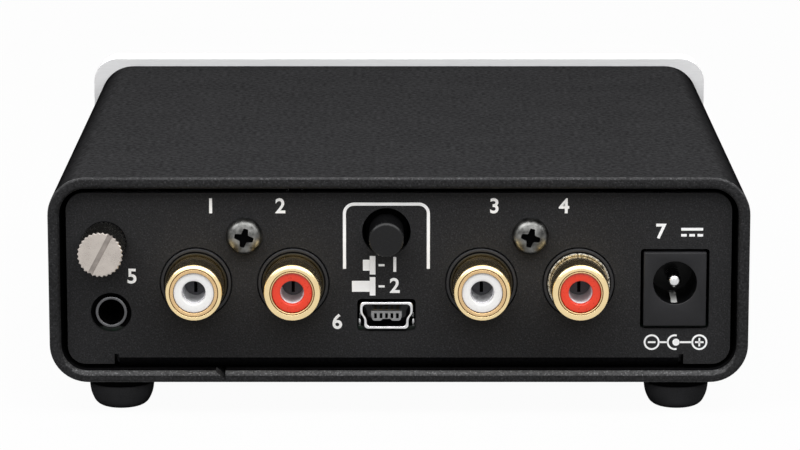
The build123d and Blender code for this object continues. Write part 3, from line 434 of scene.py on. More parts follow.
def boxShape(low, high, rounding=0.0):  # corners in mm
    shape = bmesh.new()
    bmesh.ops.create_cube(shape, size=1.0)
    bmesh.ops.scale(shape, vec=[(top - base) * mm for base, top in zip(low, high)], verts=shape.verts[:])
    shiftBy(shape, [(top + base) / 2 for base, top in zip(low, high)])
    if rounding:
        easeEdges(shape, rounding, lambda edge: True)
    return shape


def prism(outline, start, end, segments=5):  # an outline of (x, z, rounding) in mm, drawn out along Y
    shape = bmesh.new()
    points = [shape.verts.new((x * mm, start * mm, z * mm)) for x, z, rounding in outline]
    shape.faces.new(points)
    for point, corner in zip(points, outline):
        if corner[2]:
            offset = corner[2] * mm
            bmesh.ops.bevel(
                shape, geom=[point], offset=offset, affect="VERTICES", segments=segments, profile=0.5, material=-1
            )
    grown = bmesh.ops.extrude_face_region(shape, geom=shape.faces[:])["geom"]
    shiftBy(shape, (0, end - start, 0), only(grown, bmesh.types.BMVert))
    bmesh.ops.recalc_face_normals(shape, faces=shape.faces[:])
    return shape


def easeEdges(shape, rounding, chosen, segments=3):
    edges = [edge for edge in shape.edges if chosen(edge)]
    bmesh.ops.bevel(
        shape, geom=edges, offset=rounding * mm, affect="EDGES", segments=segments, profile=0.5, material=-1
    )


def sharpEdge(edge):  # its two faces turn by more than 50 degrees
    return len(edge.link_faces) == 2 and edge.calc_face_angle(0) > math.radians(50)


def rimEdge(edge, along):  # a sharp edge with both its ends at this place along Y
    return sharpEdge(edge) and all(abs(point.co.y - along * mm) < 0.01 * mm for point in edge.verts)


def finishPiece(name, shape, nodeName, finish=None, crease=38, others=()):  # others: (test of place and normal, finish)
    body = bodyOf.get(nodeName, nodeName)  # a piece that stands for no node gives its body's name instead
    tests = [test for test, other in others]
    for face in shape.faces:
        face.smooth = True
        spot = face.calc_center_median() / mm
        face.material_index = next((place + 1 for place, test in enumerate(tests) if test(spot, face.normal)), 0)
    mesh = asMesh(shape, name)
    mesh.set_sharp_from_angle(angle=math.radians(crease))
    mesh.materials.append(finish or finishes[slotOf[nodeName]])
    for test, other in others:
        mesh.materials.append(other)
    piece = asObject(mesh)
    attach(piece, body)
    if nodeName in slotOf:
        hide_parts(nodeName)
    return piece


def turnedPiece(name, kind, places, node, finish=None, others=()):
    shape = turnedShape(kind["corners"], kind["segments"])
    finishPiece(name, laidOut(shape, places), node, finish, others=others)


easing = {"crease": 28, "flat": 0.4, "segments": 2, "merge": 0.002}  # crease and flat in degrees, merge in mm


def softened(node, width, finish=None, others=()):  # a node's own solid with its edges eased
    shape = bmesh.new()
    shape.from_mesh(nodes[node].data)
    bmesh.ops.remove_doubles(shape, verts=shape.verts[:], dist=easing["merge"] * mm)
    flat = math.radians(easing["flat"])
    bmesh.ops.dissolve_limit(shape, angle_limit=flat, verts=shape.verts[:], edges=shape.edges[:])
    piece = finishPiece(node + "Eased", shape, node, finish, easing["crease"], others)
    ease = piece.modifiers.new("ease", "BEVEL")
    ease.width = width * mm
    ease.segments = easing["segments"]
    ease.limit_method = "ANGLE"
    ease.angle_limit = math.radians(easing["crease"])


# stage, camera and light

studio = {  # lengths and places in metres
    "floorSize": 6.0,
    "roomDiffuse": 0.03,  # the room's own light, and what gloss, glass and the camera see of it on top
    "roomSeen": 0.95,
    "groundTones": (0.16, 0.18),
    "groundWhite": 1.12,
    "glow": 0.86,
    "key": {"place": (0.0, 0.3, 0.45), "size": (1.3, 0.3), "watts": 5.4},
    "fill": {"place": (0.0, 1.1, 0.4), "size": (0.9, 0.4), "watts": 2.9},
    "behind": {"place": (0.0, -1.0, 0.4), "size": (0.9, 0.4), "watts": 6.0},
    "aim": (0.0, 0.0, 0.02),
}


def rays(flow):  # 1 for what is seen straight, in a gloss or through glass
    names = ("Is Camera Ray", "Is Glossy Ray", "Is Transmission Ray")
    paths = [flow.node("ShaderNodeLightPath", output=name) for name in names]
    return paths[0] + paths[1] + paths[2]


def paleGround():
    made, flow = startFinish("paleGround")
    dark, light = studio["groundTones"]
    tone = flow.noise(400.0).tint((dark, dark, dark, 1.0), (light, light, light, 1.0))
    lit = flow.node("ShaderNodeBsdfDiffuse", {}, {"Color": tone})
    glow = flow.node("ShaderNodeEmission", {}, {"Color": (1.0, 1.0, 1.0, 1.0), "Strength": studio["groundWhite"]})
    mixed = flow.node("ShaderNodeMixShader", {}, {0: rays(flow) * studio["glow"], 1: lit, 2: glow})
    flow.node("ShaderNodeOutputMaterial", {}, {"Surface": mixed})
    return made


def layGround():
    finish = paleGround()
    half = studio["floorSize"] / 2
    ground, wall = bmesh.new(), bmesh.new()
    for sheet in (ground, wall):
        bmesh.ops.create_grid(sheet, x_segments=1, y_segments=1, size=half)
    turnBy(wall, -math.pi / 2, "X")
    bmesh.ops.translate(wall, vec=(0, -half, half), verts=wall.verts[:])
    for name, sheet in (("groundSheet", ground), ("backSheet", wall)):
        mesh = asMesh(sheet, name)
        mesh.materials.append(finish)
        asObject(mesh)


def softLight(name):
    look = studio[name]
    data = bpy.data.lights.new(name, "AREA")
    data.shape = "RECTANGLE"
    data.size, data.size_y = look["size"]
    data.energy = look["watts"]
    source = bpy.data.objects.new(name, data)
    bpy.context.scene.collection.objects.link(source)
    source.location = look["place"]
    aim = Vector(studio["aim"]) - Vector(look["place"])
    source.rotation_euler = aim.to_track_quat("-Z", "Y").to_euler()
    source.visible_camera = False


def lightStage():
    world = bpy.data.worlds.new("plainRoom")
    world.use_nodes = True
    world.node_tree.nodes.clear()
    flow = Flow(world.node_tree)
    strength = studio["roomDiffuse"] + rays(flow) * studio["roomSeen"]
    sky = flow.node("ShaderNodeBackground", {}, {"Color": (1.0, 1.0, 1.0, 1.0), "Strength": strength})
    flow.node("ShaderNodeOutputWorld", {}, {"Surface": sky})
    bpy.context.scene.world = world
    for name in ("key", "fill", "behind"):
        softLight(name)


rearCamera = {"sensor": 36.0, "lens": 173.79, "place": (-0.000155, 0.59918, 0.136462), "down": 0.1973}


def setCamera():
    data = bpy.data.cameras.new("rearCamera")
    data.sensor_width = rearCamera["sensor"]
    data.lens = rearCamera["lens"]
    camera = bpy.data.objects.new("rearCamera", data)
    bpy.context.scene.collection.objects.link(camera)
    camera.location = rearCamera["place"]
    camera.rotation_euler = (math.pi / 2 - rearCamera["down"], 0.0, math.pi)
    bpy.context.scene.camera = camera
    bpy.context.scene.view_settings.view_transform = "Standard"


setCamera()
layGround()
lightStage()
print("stage, camera and lamps set")


# case

sleeve = {"half": 50.3, "low": 5.0, "high": 35.0, "front": -45.5, "rear": 57.5, "corner": 5.5, "wall": 1.65}
sleeve["rim"] = {"outer": 0.38, "inner": 0.62}  # how far the open ends' edges are rounded
sleeve["seam"] = {"outline": [(25.0, 6.7, 0), (25.0, 5.4, 0), (26.5, 6.7, 0)], "past": 2.5}


def makeSleeve():
    half, low, high, corner = (sleeve[key] for key in ("half", "low", "high", "corner"))
    wall, front, rear, rim = (sleeve[key] for key in ("wall", "front", "rear", "rim"))
    outline = [(half, low, corner), (half, high, corner), (-half, high, corner), (-half, low, corner)]
    shape = prism(outline, rear, front, 14)
    ends = [face for face in shape.faces if abs(face.normal.y) > 0.9]
    bmesh.ops.delete(shape, geom=ends, context="FACES_ONLY")
    bmesh.ops.solidify(shape, geom=shape.faces[:], thickness=wall * mm)
    bmesh.ops.recalc_face_normals(shape, faces=shape.faces[:])

    def inset(spot):  # how far a place lies inside the sleeve's outside
        across = abs(spot.x) - half + corner, abs(spot.z - (low + high) / 2) - (high - low) / 2 + corner
        return corner - math.hypot(max(across[0], 0), max(across[1], 0)) - min(max(across), 0)

    def atEnd(edge, outer):  # the outer or the inner edge of the two open ends
        flat = abs(edge.verts[0].co.y - edge.verts[1].co.y) < 0.1 * mm
        return sharpEdge(edge) and flat and (inset(edge.verts[0].co / mm) < wall / 2) == outer

    easeEdges(shape, rim["outer"], lambda edge: atEnd(edge, True), 4)
    easeEdges(shape, rim["inner"], lambda edge: atEnd(edge, False), 5)
    past = sleeve["seam"]["past"]
    seam = prism(sleeve["seam"]["outline"], rear + past, front - past)

    def onRim(spot, normal):
        return spot.y > rear - rim["inner"] * 0.98 and (inset(spot) > wall / 2 or spot.y > rear - rim["outer"])

    # painted shade goes on the inside walls
    def inside(spot, normal):
        return inset(spot) > wall * 0.8

    # painted highlight on the rim's up-facing roundings, painted shade on the rest of the rim and on the inside walls
    others = [
        (lambda spot, normal: onRim(spot, normal) and normal.z > 0.1 and spot.z < low + wall + 0.2, rimLowHighlight),
        (lambda spot, normal: onRim(spot, normal) and normal.z > 0.3, rimHighlight),
        (onRim, rimFaceShade),
        (inside, sleeveInsideShade),
    ]
    finishPiece("sleeveShell", cutAway(shape, seam), "sleeve_cover", crease=50, others=others)


bend = {"from": 54.0, "top": 8.35, "half": 40.3}


def inBend(spot, normal):  # the rear plate's lower bend, between its ears, which is painted in shade
    return spot.y > bend["from"] and spot.z < bend["top"] and abs(spot.x) < bend["half"]


makeSleeve()
# painted highlight on the panel's top faces
panelFaces = [
    (lambda spot, normal: normal.z > 0.5, panelHighlightTop),
    (lambda spot, normal: normal.y > 0.9, panelBack),
]
softened("front_panel", 0.1, others=panelFaces)
softened("chassis_tray", 0.1, others=[(inBend, paintedShade)])
# painted shade: the earth screw's washer is near black
softened("ground_washer", 0.06, paintedShade)
# painted shade: the line socket's body, seen only through its hole, is near black
softened("line_jack_body", 0.06, recessShade)
softened("input_socket_housing", 0.08)
softened("output_socket_housing", 0.08)
softened("ground_bush", 0.05)
softened("knob_grub_screw", 0.05)

feet = {"across": 40.45, "along": (-38.0, 50.0), "segments": 96, "groove": 3.56}
feet["corners"] = [  # distance from the middle line, height and rounding, in mm
    (0.0, 0.0, 0.0),
    (2.7, 0.0, 0.4),
    (3.7, 0.45, 0.5),
    (4.3, 1.45, 0.6),
    (4.6, 2.5, 0.5),
    (4.7, 3.5, 0.14),
    (4.5, 3.54, 0.05),
    (4.5, 3.7, 0.05),
    (4.7, 3.74, 0.1),
    (4.7, 5.0, 0.1),
    (1.5, 5.0, 0.0),
    (1.5, 2.0, 0.0),
    (0.0, 2.0, 0.0),
]
footPlaces = [(x, y, 0.0) for x in (-feet["across"], feet["across"]) for y in feet["along"]]
footShape = turnedShape(feet["corners"], feet["segments"])
turnBy(footShape, math.pi / 2, "X")  # stood up
# painted shadow: the feet's tops above the groove, under the case, are near black
footTones = [(lambda spot, normal: spot.z > feet["groove"], paintedShade)]
finishPiece("footBowls", laidOut(footShape, footPlaces), "feet", others=footTones)
print("case made")


# phono sockets

sockets = {"z": 19.3, "whiteX": (29.2, -11.86), "redX": (15.2, -25.86)}
barrel = {
    "mouth": 2.93,  # radii
    "inner": 3.45,
    "stem": 4.05,
    "outer": 4.12,
    "tip": 62.7,  # places along Y
    "seat": 62.0,
    "shoulder": 55.9,
    "root": 51.4,
    "lips": {"whiteX": 3.38, "redX": 3.1},
    "groove": {"wide": 0.13, "deep": 0.14, "slope": 0.03},  # between the rolled-in lip and the barrel
}
flange = {"segments": 80, "brightPast": -20.0}  # only the last flange is bright
flange["corners"] = [(4.16, 55.92, 0.0), (4.16, 56.36, 0.05), (4.5, 56.4, 0.14), (4.5, 55.92, 0.0)]
collar = {"segments": 80, "gapEnd": 4.64}
collar["corners"] = [
    (4.51, 55.8, 0.0),
    (4.51, 55.93, 0.0),
    (4.63, 55.93, 0.0),
    (4.65, 55.98, 0.03),
    (5.02, 55.98, 0.1),
    (5.02, 55.8, 0.0),
]
insulator = {"segments": 72}
insulator["corners"] = [
    (2.12, 51.6, 0.0),
    (2.12, 61.5, 0.0),
    (1.7, 61.52, 0.0),
    (1.7, 62.46, 0.16),
    (2.91, 62.46, 0.14),
    (2.91, 61.9, 0.0),
    (3.43, 61.9, 0.0),
    (3.43, 51.6, 0.0),
]
contact = {"slit": 0.42, "slitAt": 1.85, "front": 56.4, "bore": 1.55}
contact["tube"] = [(1.6, 61.5, 0.1), (2.08, 61.5, 0.1), (2.08, 55.2, 0.0), (1.6, 55.2, 0.0)]
contact["plug"] = [(0.0, 56.4, 0.0), (1.7, 56.4, 0.1), (1.7, 55.0, 0.1), (0.0, 55.0, 0.0)]
contact["bar"] = ((-0.24, 56.3, -1.15), (0.24, 56.5, 1.5), 0.05)


def socketPlaces(names):
    return [(x, 0.0, sockets["z"]) for name in names for x in sockets[name]]


allSockets = socketPlaces(("whiteX", "redX"))


def fromAxis(spot):  # distance from the nearest socket's middle line
    return min(math.hypot(spot.x - x, spot.z - z) for x, y, z in allSockets)


def pastLip(spot):  # distance outward from the edge of the rolled-in lip
    lips = [(x, lip) for name, lip in barrel["lips"].items() for x in sockets[name]]
    return min(math.hypot(spot.x - x, spot.z - sockets["z"]) - lip for x, lip in lips)


def barrelShape(name):
    mouth, inner, stem, outer = (barrel[key] for key in ("mouth", "inner", "stem", "outer"))
    tip, seat, shoulder, root = (barrel[key] for key in ("tip", "seat", "shoulder", "root"))
    lip, groove = barrel["lips"][name], barrel["groove"]
    past, slope, floor = lip + groove["wide"], groove["slope"], tip - groove["deep"]
    corners = [
        (mouth, seat, 0.0),
        (mouth, tip - 0.02, 0.06),
        (lip, tip, 0.03),
        (lip + slope, floor, 0.0),
        (past - slope, floor, 0.0),
        (past, tip - 0.02, 0.03),
        (outer, tip - 0.06, 0.54),
        (outer, shoulder, 0.0),
        (stem, shoulder, 0.0),
        (stem, root, 0.0),
        (inner, root, 0.0),
        (inner, seat, 0.0),
    ]
    return laidOut(turnedShape(corners, 96), socketPlaces([name]))


def makeContacts():
    front, bore = contact["front"], contact["bore"]
    slit = contact["slit"] / contact["slitAt"]
    tube = turnedShape(contact["tube"], 48, math.tau - slit, -math.pi / 2 + slit / 2)
    for part in (turnedShape(contact["plug"], 32), boxShape(*contact["bar"])):
        copyInto(tube, part, (0, 0, 0))
        part.free()
    # painted shade: the small bar on the plug's face is near black; painted light: the tube's inner wall is pale
    tones = [
        (lambda spot, normal: fromAxis(spot) < bore and front + 0.02 < spot.y < front + 0.6, recessShade),
        (lambda spot, normal: fromAxis(spot) < bore and normal.y > 0.5, plugGrey),
        (lambda spot, normal: fromAxis(spot) < bore + 0.07 and spot.y > front + 0.6, contactBorePaintedLight),
    ]
    finishPiece("centreTubes", laidOut(tube, allSockets), "socket_center_contacts", contactTin, others=tones)


seat, wide = barrel["seat"], barrel["groove"]["wide"]
# painted shade in the groove and on the barrel's mouth; the rolled-in lip has its own tone
barrelTones = [
    (lambda spot, normal: 0.005 < pastLip(spot) < wide - 0.005 and spot.y > seat + 0.3, goldShade),
    (lambda spot, normal: fromAxis(spot) < barrel["mouth"] + 0.02 and spot.y > seat, goldShade),
    (lambda spot, normal: pastLip(spot) < 0.01 and spot.y > seat, goldInner),
]
barrels = barrelShape("whiteX")
copyInto(barrels, barrelShape("redX"), (0, 0, 0))
finishPiece("goldBarrels", barrels, "socket_barrels", others=barrelTones)
flangeTones = [(lambda spot, normal: spot.x < flange["brightPast"], flangeBright)]
# the flanges: dark, with a painted brown reflection of the gold
turnedPiece("barrelFlanges", flange, allSockets, "case", flangeReflection, flangeTones)
# painted shade: the collar's inner step, in the gap round the flange, is near black
collarTones = [(lambda spot, normal: fromAxis(spot) < collar["gapEnd"], recessShade)]
turnedPiece("collarRims", collar, allSockets, "case", finishes["black_plastic"], collarTones)
turnedPiece("whiteRings", insulator, socketPlaces(["whiteX"]), "white_insulators")
turnedPiece("redRings", insulator, socketPlaces(["redX"]), "red_insulators")
makeContacts()
print("phono sockets made")


# screws

panScrew = {"places": [(22.2, 0.0, 26.25), (-18.86, 0.0, 26.25)], "turn": -13.0, "top": 57.6, "deep": 1.15}
panScrew["arm"] = [(1.38, -0.33, 0.14), (1.38, 0.33, 0.14), (0.5, 0.5, 0.14)]  # one of four arms, and its root
panScrew["dark"] = (56.3, 57.42)  # the recess between these is painted black as shade
panScrew["shank"] = [(0.0, 56.0, 0.0), (1.5, 56.0, 0.0), (1.5, 48.5, 0.3), (0.0, 48.5, 0.0)]
panScrew["corners"] = [
    (0.0, 57.6, 0.0),
    (1.35, 57.55, 0.6),
    (2.45, 57.0, 0.55),
    (2.64, 56.2, 0.2),
    (2.64, 55.7, 0.0),
    (0.0, 55.7, 0.0),
]


def makePanScrews():
    head = turnedShape(panScrew["corners"], 96)
    outline = []
    for quarter in range(4):
        turn = math.radians(90 * quarter - panScrew["turn"])
        cosine, sine = math.cos(turn), math.sin(turn)
        outline += [(x * cosine - z * sine, x * sine + z * cosine, rounding) for x, z, rounding in panScrew["arm"]]
    head = cutAway(head, prism(outline, panScrew["top"] - panScrew["deep"], panScrew["top"] + 0.6))
    copyInto(head, turnedShape(panScrew["shank"], 32), (0, 0, 0))
    places = panScrew["places"]
    reach = panScrew["arm"][0][0] + 0.06  # just past the arms' ends
    low, high = panScrew["dark"]

    def recessed(spot, normal):
        near = min(math.hypot(spot.x - x, spot.z - z) for x, y, z in places)
        return near < reach and low < spot.y < high

    finishPiece("crossHeadScrews", laidOut(head, places), "socket_screws", crease=34, others=[(recessed, recessShade)])


earthScrew = {
    "place": (42.3, 0.0, 25.2),
    "radius": 3.25,
    "root": 56.5,
    "tip": 64.3,
    "ridge": 0.2,
    "ridges": 30,
    "twist": 34.0,  # degrees from root to tip
    "steps": 12,
    "edge": 0.15,  # the bevel at the tip, and what it leaves of the radius
    "edgeShare": 0.955,
}
earthScrew["slot"] = {"turn": 28.0, "wide": 0.72, "deep": 0.5, "half": 5.0}
earthScrew["flank"] = {"below": 63.9, "past": 2.9}  # the knurled side, painted darker than the end face as shade
earthScrew["shank"] = [(0.0, 57.0, 0.0), (1.5, 57.0, 0.0), (1.5, 47.9, 0.3), (0.0, 47.9, 0.0)]


def makeEarthScrew():
    steps, sides, edge = earthScrew["steps"], 2 * earthScrew["ridges"], earthScrew["edge"]
    shape = bmesh.new()
    bmesh.ops.create_circle(shape, cap_ends=True, segments=sides, radius=earthScrew["radius"] * mm)
    share = 1 - earthScrew["ridge"] / earthScrew["radius"]
    bmesh.ops.scale(shape, vec=(share, share, 1.0), verts=shape.verts[:][::2])
    rise = (earthScrew["tip"] - earthScrew["root"] - edge) / steps
    turn = math.radians(earthScrew["twist"] / steps)
    top = shape.faces[:]
    for climb, twist, shrink in [(rise, turn, 1.0)] * steps + [(edge, 0.0, earthScrew["edgeShare"])]:
        grown = bmesh.ops.extrude_face_region(shape, geom=top)["geom"]
        if len(shape.faces) > len(top) * 2 + sides:  # the root's own face stays
            bmesh.ops.delete(shape, geom=top, context="FACES_ONLY")
        top, points = only(grown, bmesh.types.BMFace), only(grown, bmesh.types.BMVert)
        shiftBy(shape, (0, 0, climb), points)
        turnBy(shape, twist, "Z", points)
        bmesh.ops.scale(shape, vec=(shrink, shrink, 1.0), verts=points)
    shiftBy(shape, (0, 0, earthScrew["root"]))
    turnBy(shape, -math.pi / 2, "X")  # laid down along Y
    bmesh.ops.recalc_face_normals(shape, faces=shape.faces[:])
    slot, tip, half = earthScrew["slot"], earthScrew["tip"], earthScrew["slot"]["half"]
    tool = boxShape((-slot["wide"] / 2, tip - slot["deep"], -half), (slot["wide"] / 2, tip + 1.0, half))
    turnBy(tool, -math.radians(slot["turn"]), "Y")
    shape = cutAway(shape, tool)
    copyInto(shape, turnedShape(earthScrew["shank"], 32), (0, 0, 0))
    x, y, z = earthScrew["place"]
    flank = earthScrew["flank"]

    def onFloor(spot, normal):
        return abs(spot.y - tip + slot["deep"]) < 0.02 and normal.y > 0.9

    def onFlank(spot, normal):
        return spot.y < flank["below"] and math.hypot(spot.x - x, spot.z - z) > flank["past"]

    # painted shade: the slot's floor is a darker nickel, the knurled side darker still
    tones = [
        (onFloor, plated("slotFloorShade", (158, 150, 144), 0.34, 0.3)),
        (onFlank, plated("knurlShade", (132, 130, 124), 0.24)),
    ]
    finishPiece("knurledScrew", laidOut(shape, [(x, y, z)]), "ground_screw", crease=30, others=tones)


makePanScrews()
makeEarthScrew()
print("screws made")


# button, data, power and line sockets

modeCap = {"place": (1.8, 0.0, 26.8), "segments": 96, "darkBelow": 61.3}
modeCap["corners"] = [(0.0, 61.66, 0.0), (2.18, 61.7, 0.06), (2.5, 61.46, 0.12), (2.5, 54.5, 0.1), (0.0, 54.5, 0.0)]
# painted shade: the cap's side below its face is near black, down in the button's hole
capTones = [(lambda spot, normal: spot.y < modeCap["darkBelow"], recessShade)]
turnedPiece("roundCap", modeCap, [modeCap["place"]], "mode_button", others=capTones)

dataSocket = {"x": 1.8, "half": 3.82, "face": 56.0, "back": 46.8, "wall": 0.36}
dataSocket["legs"] = {"aside": 3.9, "setBack": (3.2, 7.4), "low": (-0.2, -0.4, 12.6), "high": (0.2, 0.4, 13.5)}
dataSocket["slots"] = {"pitch": 0.79, "half": 0.2, "low": 13.98, "high": 14.72, "deep": 2.6, "reach": 1.9}
dataSocket["block"] = ((-3.4, 47.7, 12.95), (3.4, 50.1, 16.1))
dataSocket["rounding"] = {"shell": 0.09, "leg": 0.06, "tongue": 0.05, "slot": 0.04, "block": 0.08}
dataSocket["ends"] = (55.1, 49.5)  # the tongue's, along Y
dataSocket["outline"] = [
    (-3.2, 12.6, 0.55),
    (3.2, 12.6, 0.55),
    (3.2, 14.1, 0.35),
    (3.8, 14.9, 0.35),
    (3.8, 16.55, 0.55),
    (-3.8, 16.55, 0.55),
    (-3.8, 14.9, 0.35),
    (-3.2, 14.1, 0.35),
]
dataSocket["tongue"] = [
    (-2.23, 15.03, 0.12),
    (2.23, 15.03, 0.12),
    (2.23, 14.25, 0.2),
    (1.95, 13.58, 0.22),
    (0.75, 13.58, 0.15),
    (0.6, 13.87, 0.08),
    (-0.6, 13.87, 0.08),
    (-0.75, 13.58, 0.15),
    (-1.95, 13.58, 0.22),
    (-2.23, 14.25, 0.2),
]


def makeDataSocket():
    x, face, back = dataSocket["x"], dataSocket["face"], dataSocket["back"]
    legs, slots, rounding = dataSocket["legs"], dataSocket["slots"], dataSocket["rounding"]
    shell = prism(dataSocket["outline"], face, back)
    hole = prism(dataSocket["outline"], face + 1.0, back - 1.0)
    ends = [side for side in hole.faces if abs(side.normal.y) > 0.9]
    wall = dataSocket["wall"] * mm
    for end in ends:  # the outline pulled in by the wall
        middle = end.calc_center_bounds()
        for point in end.verts:
            point.co.x -= math.copysign(wall, point.co.x - middle.x)
            point.co.z -= math.copysign(wall, point.co.z - middle.z) if abs(point.co.z - middle.z) > 1.2 * mm else 0.0
    shell = cutAway(shell, hole)
    easeEdges(shell, rounding["shell"], lambda edge: rimEdge(edge, face))
    for side in (-1, 1):
        for setBack in legs["setBack"]:
            leg = boxShape(legs["low"], legs["high"], rounding["leg"])
            copyInto(shell, leg, (side * legs["aside"], face - setBack, 0))
            leg.free()
    shade = plated("shellShade", (42, 42, 44), 0.4)
    shell = laidOut(shell, [(x, 0, 0)])
    tones = [(lambda spot, normal: spot.y < face - 0.1 and abs(spot.x - x) < dataSocket["half"], shade)]
    finishPiece("dataShell", shell, "usb_shell", crease=30, others=tones)

    front, root = dataSocket["ends"]
    tongue = prism(dataSocket["tongue"], front, root)
    easeEdges(tongue, rounding["tongue"], lambda edge: rimEdge(edge, front))
    low, high, half, deep = slots["low"], slots["high"], slots["half"], face - slots["deep"]
    for number in range(-2, 3):
        at = number * slots["pitch"]
        tool = boxShape((at - half, deep, low), (at + half, face, high), rounding["slot"])
        tongue = cutAway(tongue, tool)
    copyInto(tongue, boxShape(*dataSocket["block"], rounding["block"]), (0, 0, 0))

    # painted shade: the slots in the tongue are near black
    def slotted(spot, normal):
        across, between = abs(spot.x - x) < slots["reach"], low - 0.03 < spot.z < high + 0.03
        return across and between and deep - 0.2 < spot.y < front - 0.05

    finishPiece("dataTongue", laidOut(tongue, [(x, 0, 0)]), "usb_tongue", crease=30, others=[(slotted, recessShade)])


powerSocket = {"x": -39.72, "half": 4.5, "low": 13.05, "high": 23.85, "face": 56.1, "back": 42.1}
powerSocket["rounding"] = {"block": 0.16, "rim": 0.1, "leaf": 0.06}
powerSocket["hole"] = {"z": 19.4, "radius": 3.15, "from": 58.0, "to": 46.6}
powerSocket["pin"] = [(0.0, 54.9, 0.0), (1.0, 54.9, 0.7), (1.0, 46.4, 0.0), (0.0, 46.4, 0.0)]
powerSocket["leafHalf"] = 0.45
powerSocket["leaf"] = [  # along, height and rounding: a strip that arches up in its middle
    (54.85, 15.98, 0),
    (54.85, 16.28, 0),
    (50.75, 17.03, 1.2),
    (46.65, 16.28, 0),
    (46.65, 15.98, 0),
    (50.75, 16.73, 1.2),
]


def makePowerSocket():
    x, half, hole, face, rounding = (powerSocket[key] for key in ("x", "half", "hole", "face", "rounding"))
    low, high = (-half, powerSocket["back"], powerSocket["low"]), (half, face, powerSocket["high"])
    body = boxShape(low, high, rounding["block"])
    radius, start, end = hole["radius"], hole["from"], hole["to"]
    bore = turnedShape([(0.0, start, 0.0), (radius, start, 0.0), (radius, end, 0.0), (0.0, end, 0.0)], 96)
    shiftBy(bore, (0, 0, hole["z"]))
    body = cutAway(body, bore)
    easeEdges(body, rounding["rim"], lambda edge: rimEdge(edge, face))

    def inHole(spot, normal):
        return math.hypot(spot.x - x, spot.z - hole["z"]) < radius + 0.02 and spot.y < face - 0.1

    def onFace(spot, normal):
        return normal.y > 0.9 and spot.y > face - 0.1

    # painted shade: the bore of the hole is near black
    tones = [(inHole, holePaintedShade), (onFace, powerFace)]
    finishPiece("powerBlock", laidOut(body, [(x, 0, 0)]), "power_jack_body", crease=30, others=tones)
    pin = turnedShape(powerSocket["pin"], 48)
    finishPiece("powerPin", laidOut(pin, [(x, 0, hole["z"])]), "power_jack_pin")
    leaf = prism(powerSocket["leaf"], -powerSocket["leafHalf"], powerSocket["leafHalf"])
    turnBy(leaf, math.pi / 2, "Z")
    easeEdges(leaf, rounding["leaf"], sharpEdge, 2)
    # painted highlight on the spring leaf
    finishPiece("powerLeaf", laidOut(leaf, [(x, 0, 0)]), "power_jack_spring", leafHighlight)


lineSocket = {"place": (41.5, 0.0, 14.9), "segments": 72}
lineSocket["corners"] = [(1.85, 55.2, 0.12), (2.36, 55.2, 0.22), (2.36, 49.0, 0.0), (1.85, 49.0, 0.0)]

makeDataSocket()
makePowerSocket()
turnedPiece("lineFerrule", lineSocket, [lineSocket["place"]], "line_jack_ferrule", ferruleDark)
print("button and sockets made")


# front: knob, buttons and lamps

knob = {"place": (31.0, 0.0, 20.0), "end": -64.3}
knob["pointer"] = {"wide": 1.0, "deep": 0.4, "from": 2.5, "past": 8.0, "clear": 0.7, "rounding": 0.06}
knob["corners"] = [
    (0.0, -64.12, 0.0),
    (6.1, -64.12, 0.15),
    (6.5, -64.3, 0.2),
    (7.5, -64.3, 0.55),
    (7.5, -52.3, 0.25),
    (6.1, -52.3, 0.1),
    (6.1, -55.3, 0.1),
    (4.6, -55.3, 0.1),
    (4.6, -52.3, 0.1),
    (3.05, -52.3, 0.05),
    (3.05, -62.3, 0.0),
    (0.0, -62.3, 0.0),
]


def makeKnob():
    pointer = knob["pointer"]
    half, floor = pointer["wide"] / 2, knob["end"] + pointer["deep"]
    low, high = (-half, knob["end"] - pointer["clear"], pointer["from"]), (half, floor, pointer["past"])
    shape = cutAway(turnedShape(knob["corners"], 128), boxShape(low, high, pointer["rounding"]))
    x, z = knob["place"][::2]

    def inked(spot, normal):
        return abs(spot.x - x) < half and spot.z - z > pointer["from"] and abs(spot.y - floor) < 0.1

    finishPiece("levelKnob", laidOut(shape, [knob["place"]]), "gain_knob", crease=30, others=[(inked, darkInk)])


frontCap = {"z": 20.0, "segments": 96}
frontCap["pieces"] = (("powerCap", -38.0, "power_button"), ("inputCap", 4.0, "input_button"))
frontCap["corners"] = [
    (0.0, -54.62, 0.0),
    (2.3, -54.7, 0.2),
    (3.0, -54.7, 0.35),
    (3.0, -46.4, 0.1),
    (0.0, -46.4, 0.0),
]
lamp = {"z": 20.0, "segments": 64}
lamp["pieces"] = (("powerLamp", -28.0, "power_led"), ("levelLamp", 17.5, "level_led"))
lamp["corners"] = [
    (0.0, -51.9, 0.0),
    (1.5, -51.9, 0.75),
    (1.5, -47.6, 0.0),
    (1.95, -47.6, 0.05),
    (1.95, -46.6, 0.05),
    (0.0, -46.6, 0.0),
]

makeKnob()
for kind in (frontCap, lamp):
    for name, x, node in kind["pieces"]:
        turnedPiece(name, kind, [(x, 0.0, kind["z"])], node)
print("front made")


# prints: plain figures, lines and the usual signs


def bar(x, z, width, height):  # marks are drawn flat, with the plate's height along Y, and stood up at the end
    mark = bmesh.new()
    bmesh.ops.create_grid(mark, x_segments=1, y_segments=1, size=0.5 * mm)
    bmesh.ops.scale(mark, verts=mark.verts[:], vec=(width, height, 1.0))
    shiftBy(mark, (x, z, 0))
    return mark


def ring(x, z, radius, width, sweep=360.0, start=0.0):  # turns in degrees
    mark = bmesh.new()
    ends = [mark.verts.new((reach * mm, 0, 0)) for reach in (radius - width / 2, radius + width / 2)]
    mark.edges.new(ends)
    turnBy(mark, math.radians(start), "Z")
    parts, angle, whole = mark.verts[:] + mark.edges[:], math.radians(sweep), sweep == 360.0
    bmesh.ops.spin(mark, geom=parts, cent=(0, 0, 0), axis=(0, 0, 1), angle=angle, steps=40, use_merge=whole)
    shiftBy(mark, (x, z, 0))
    return mark


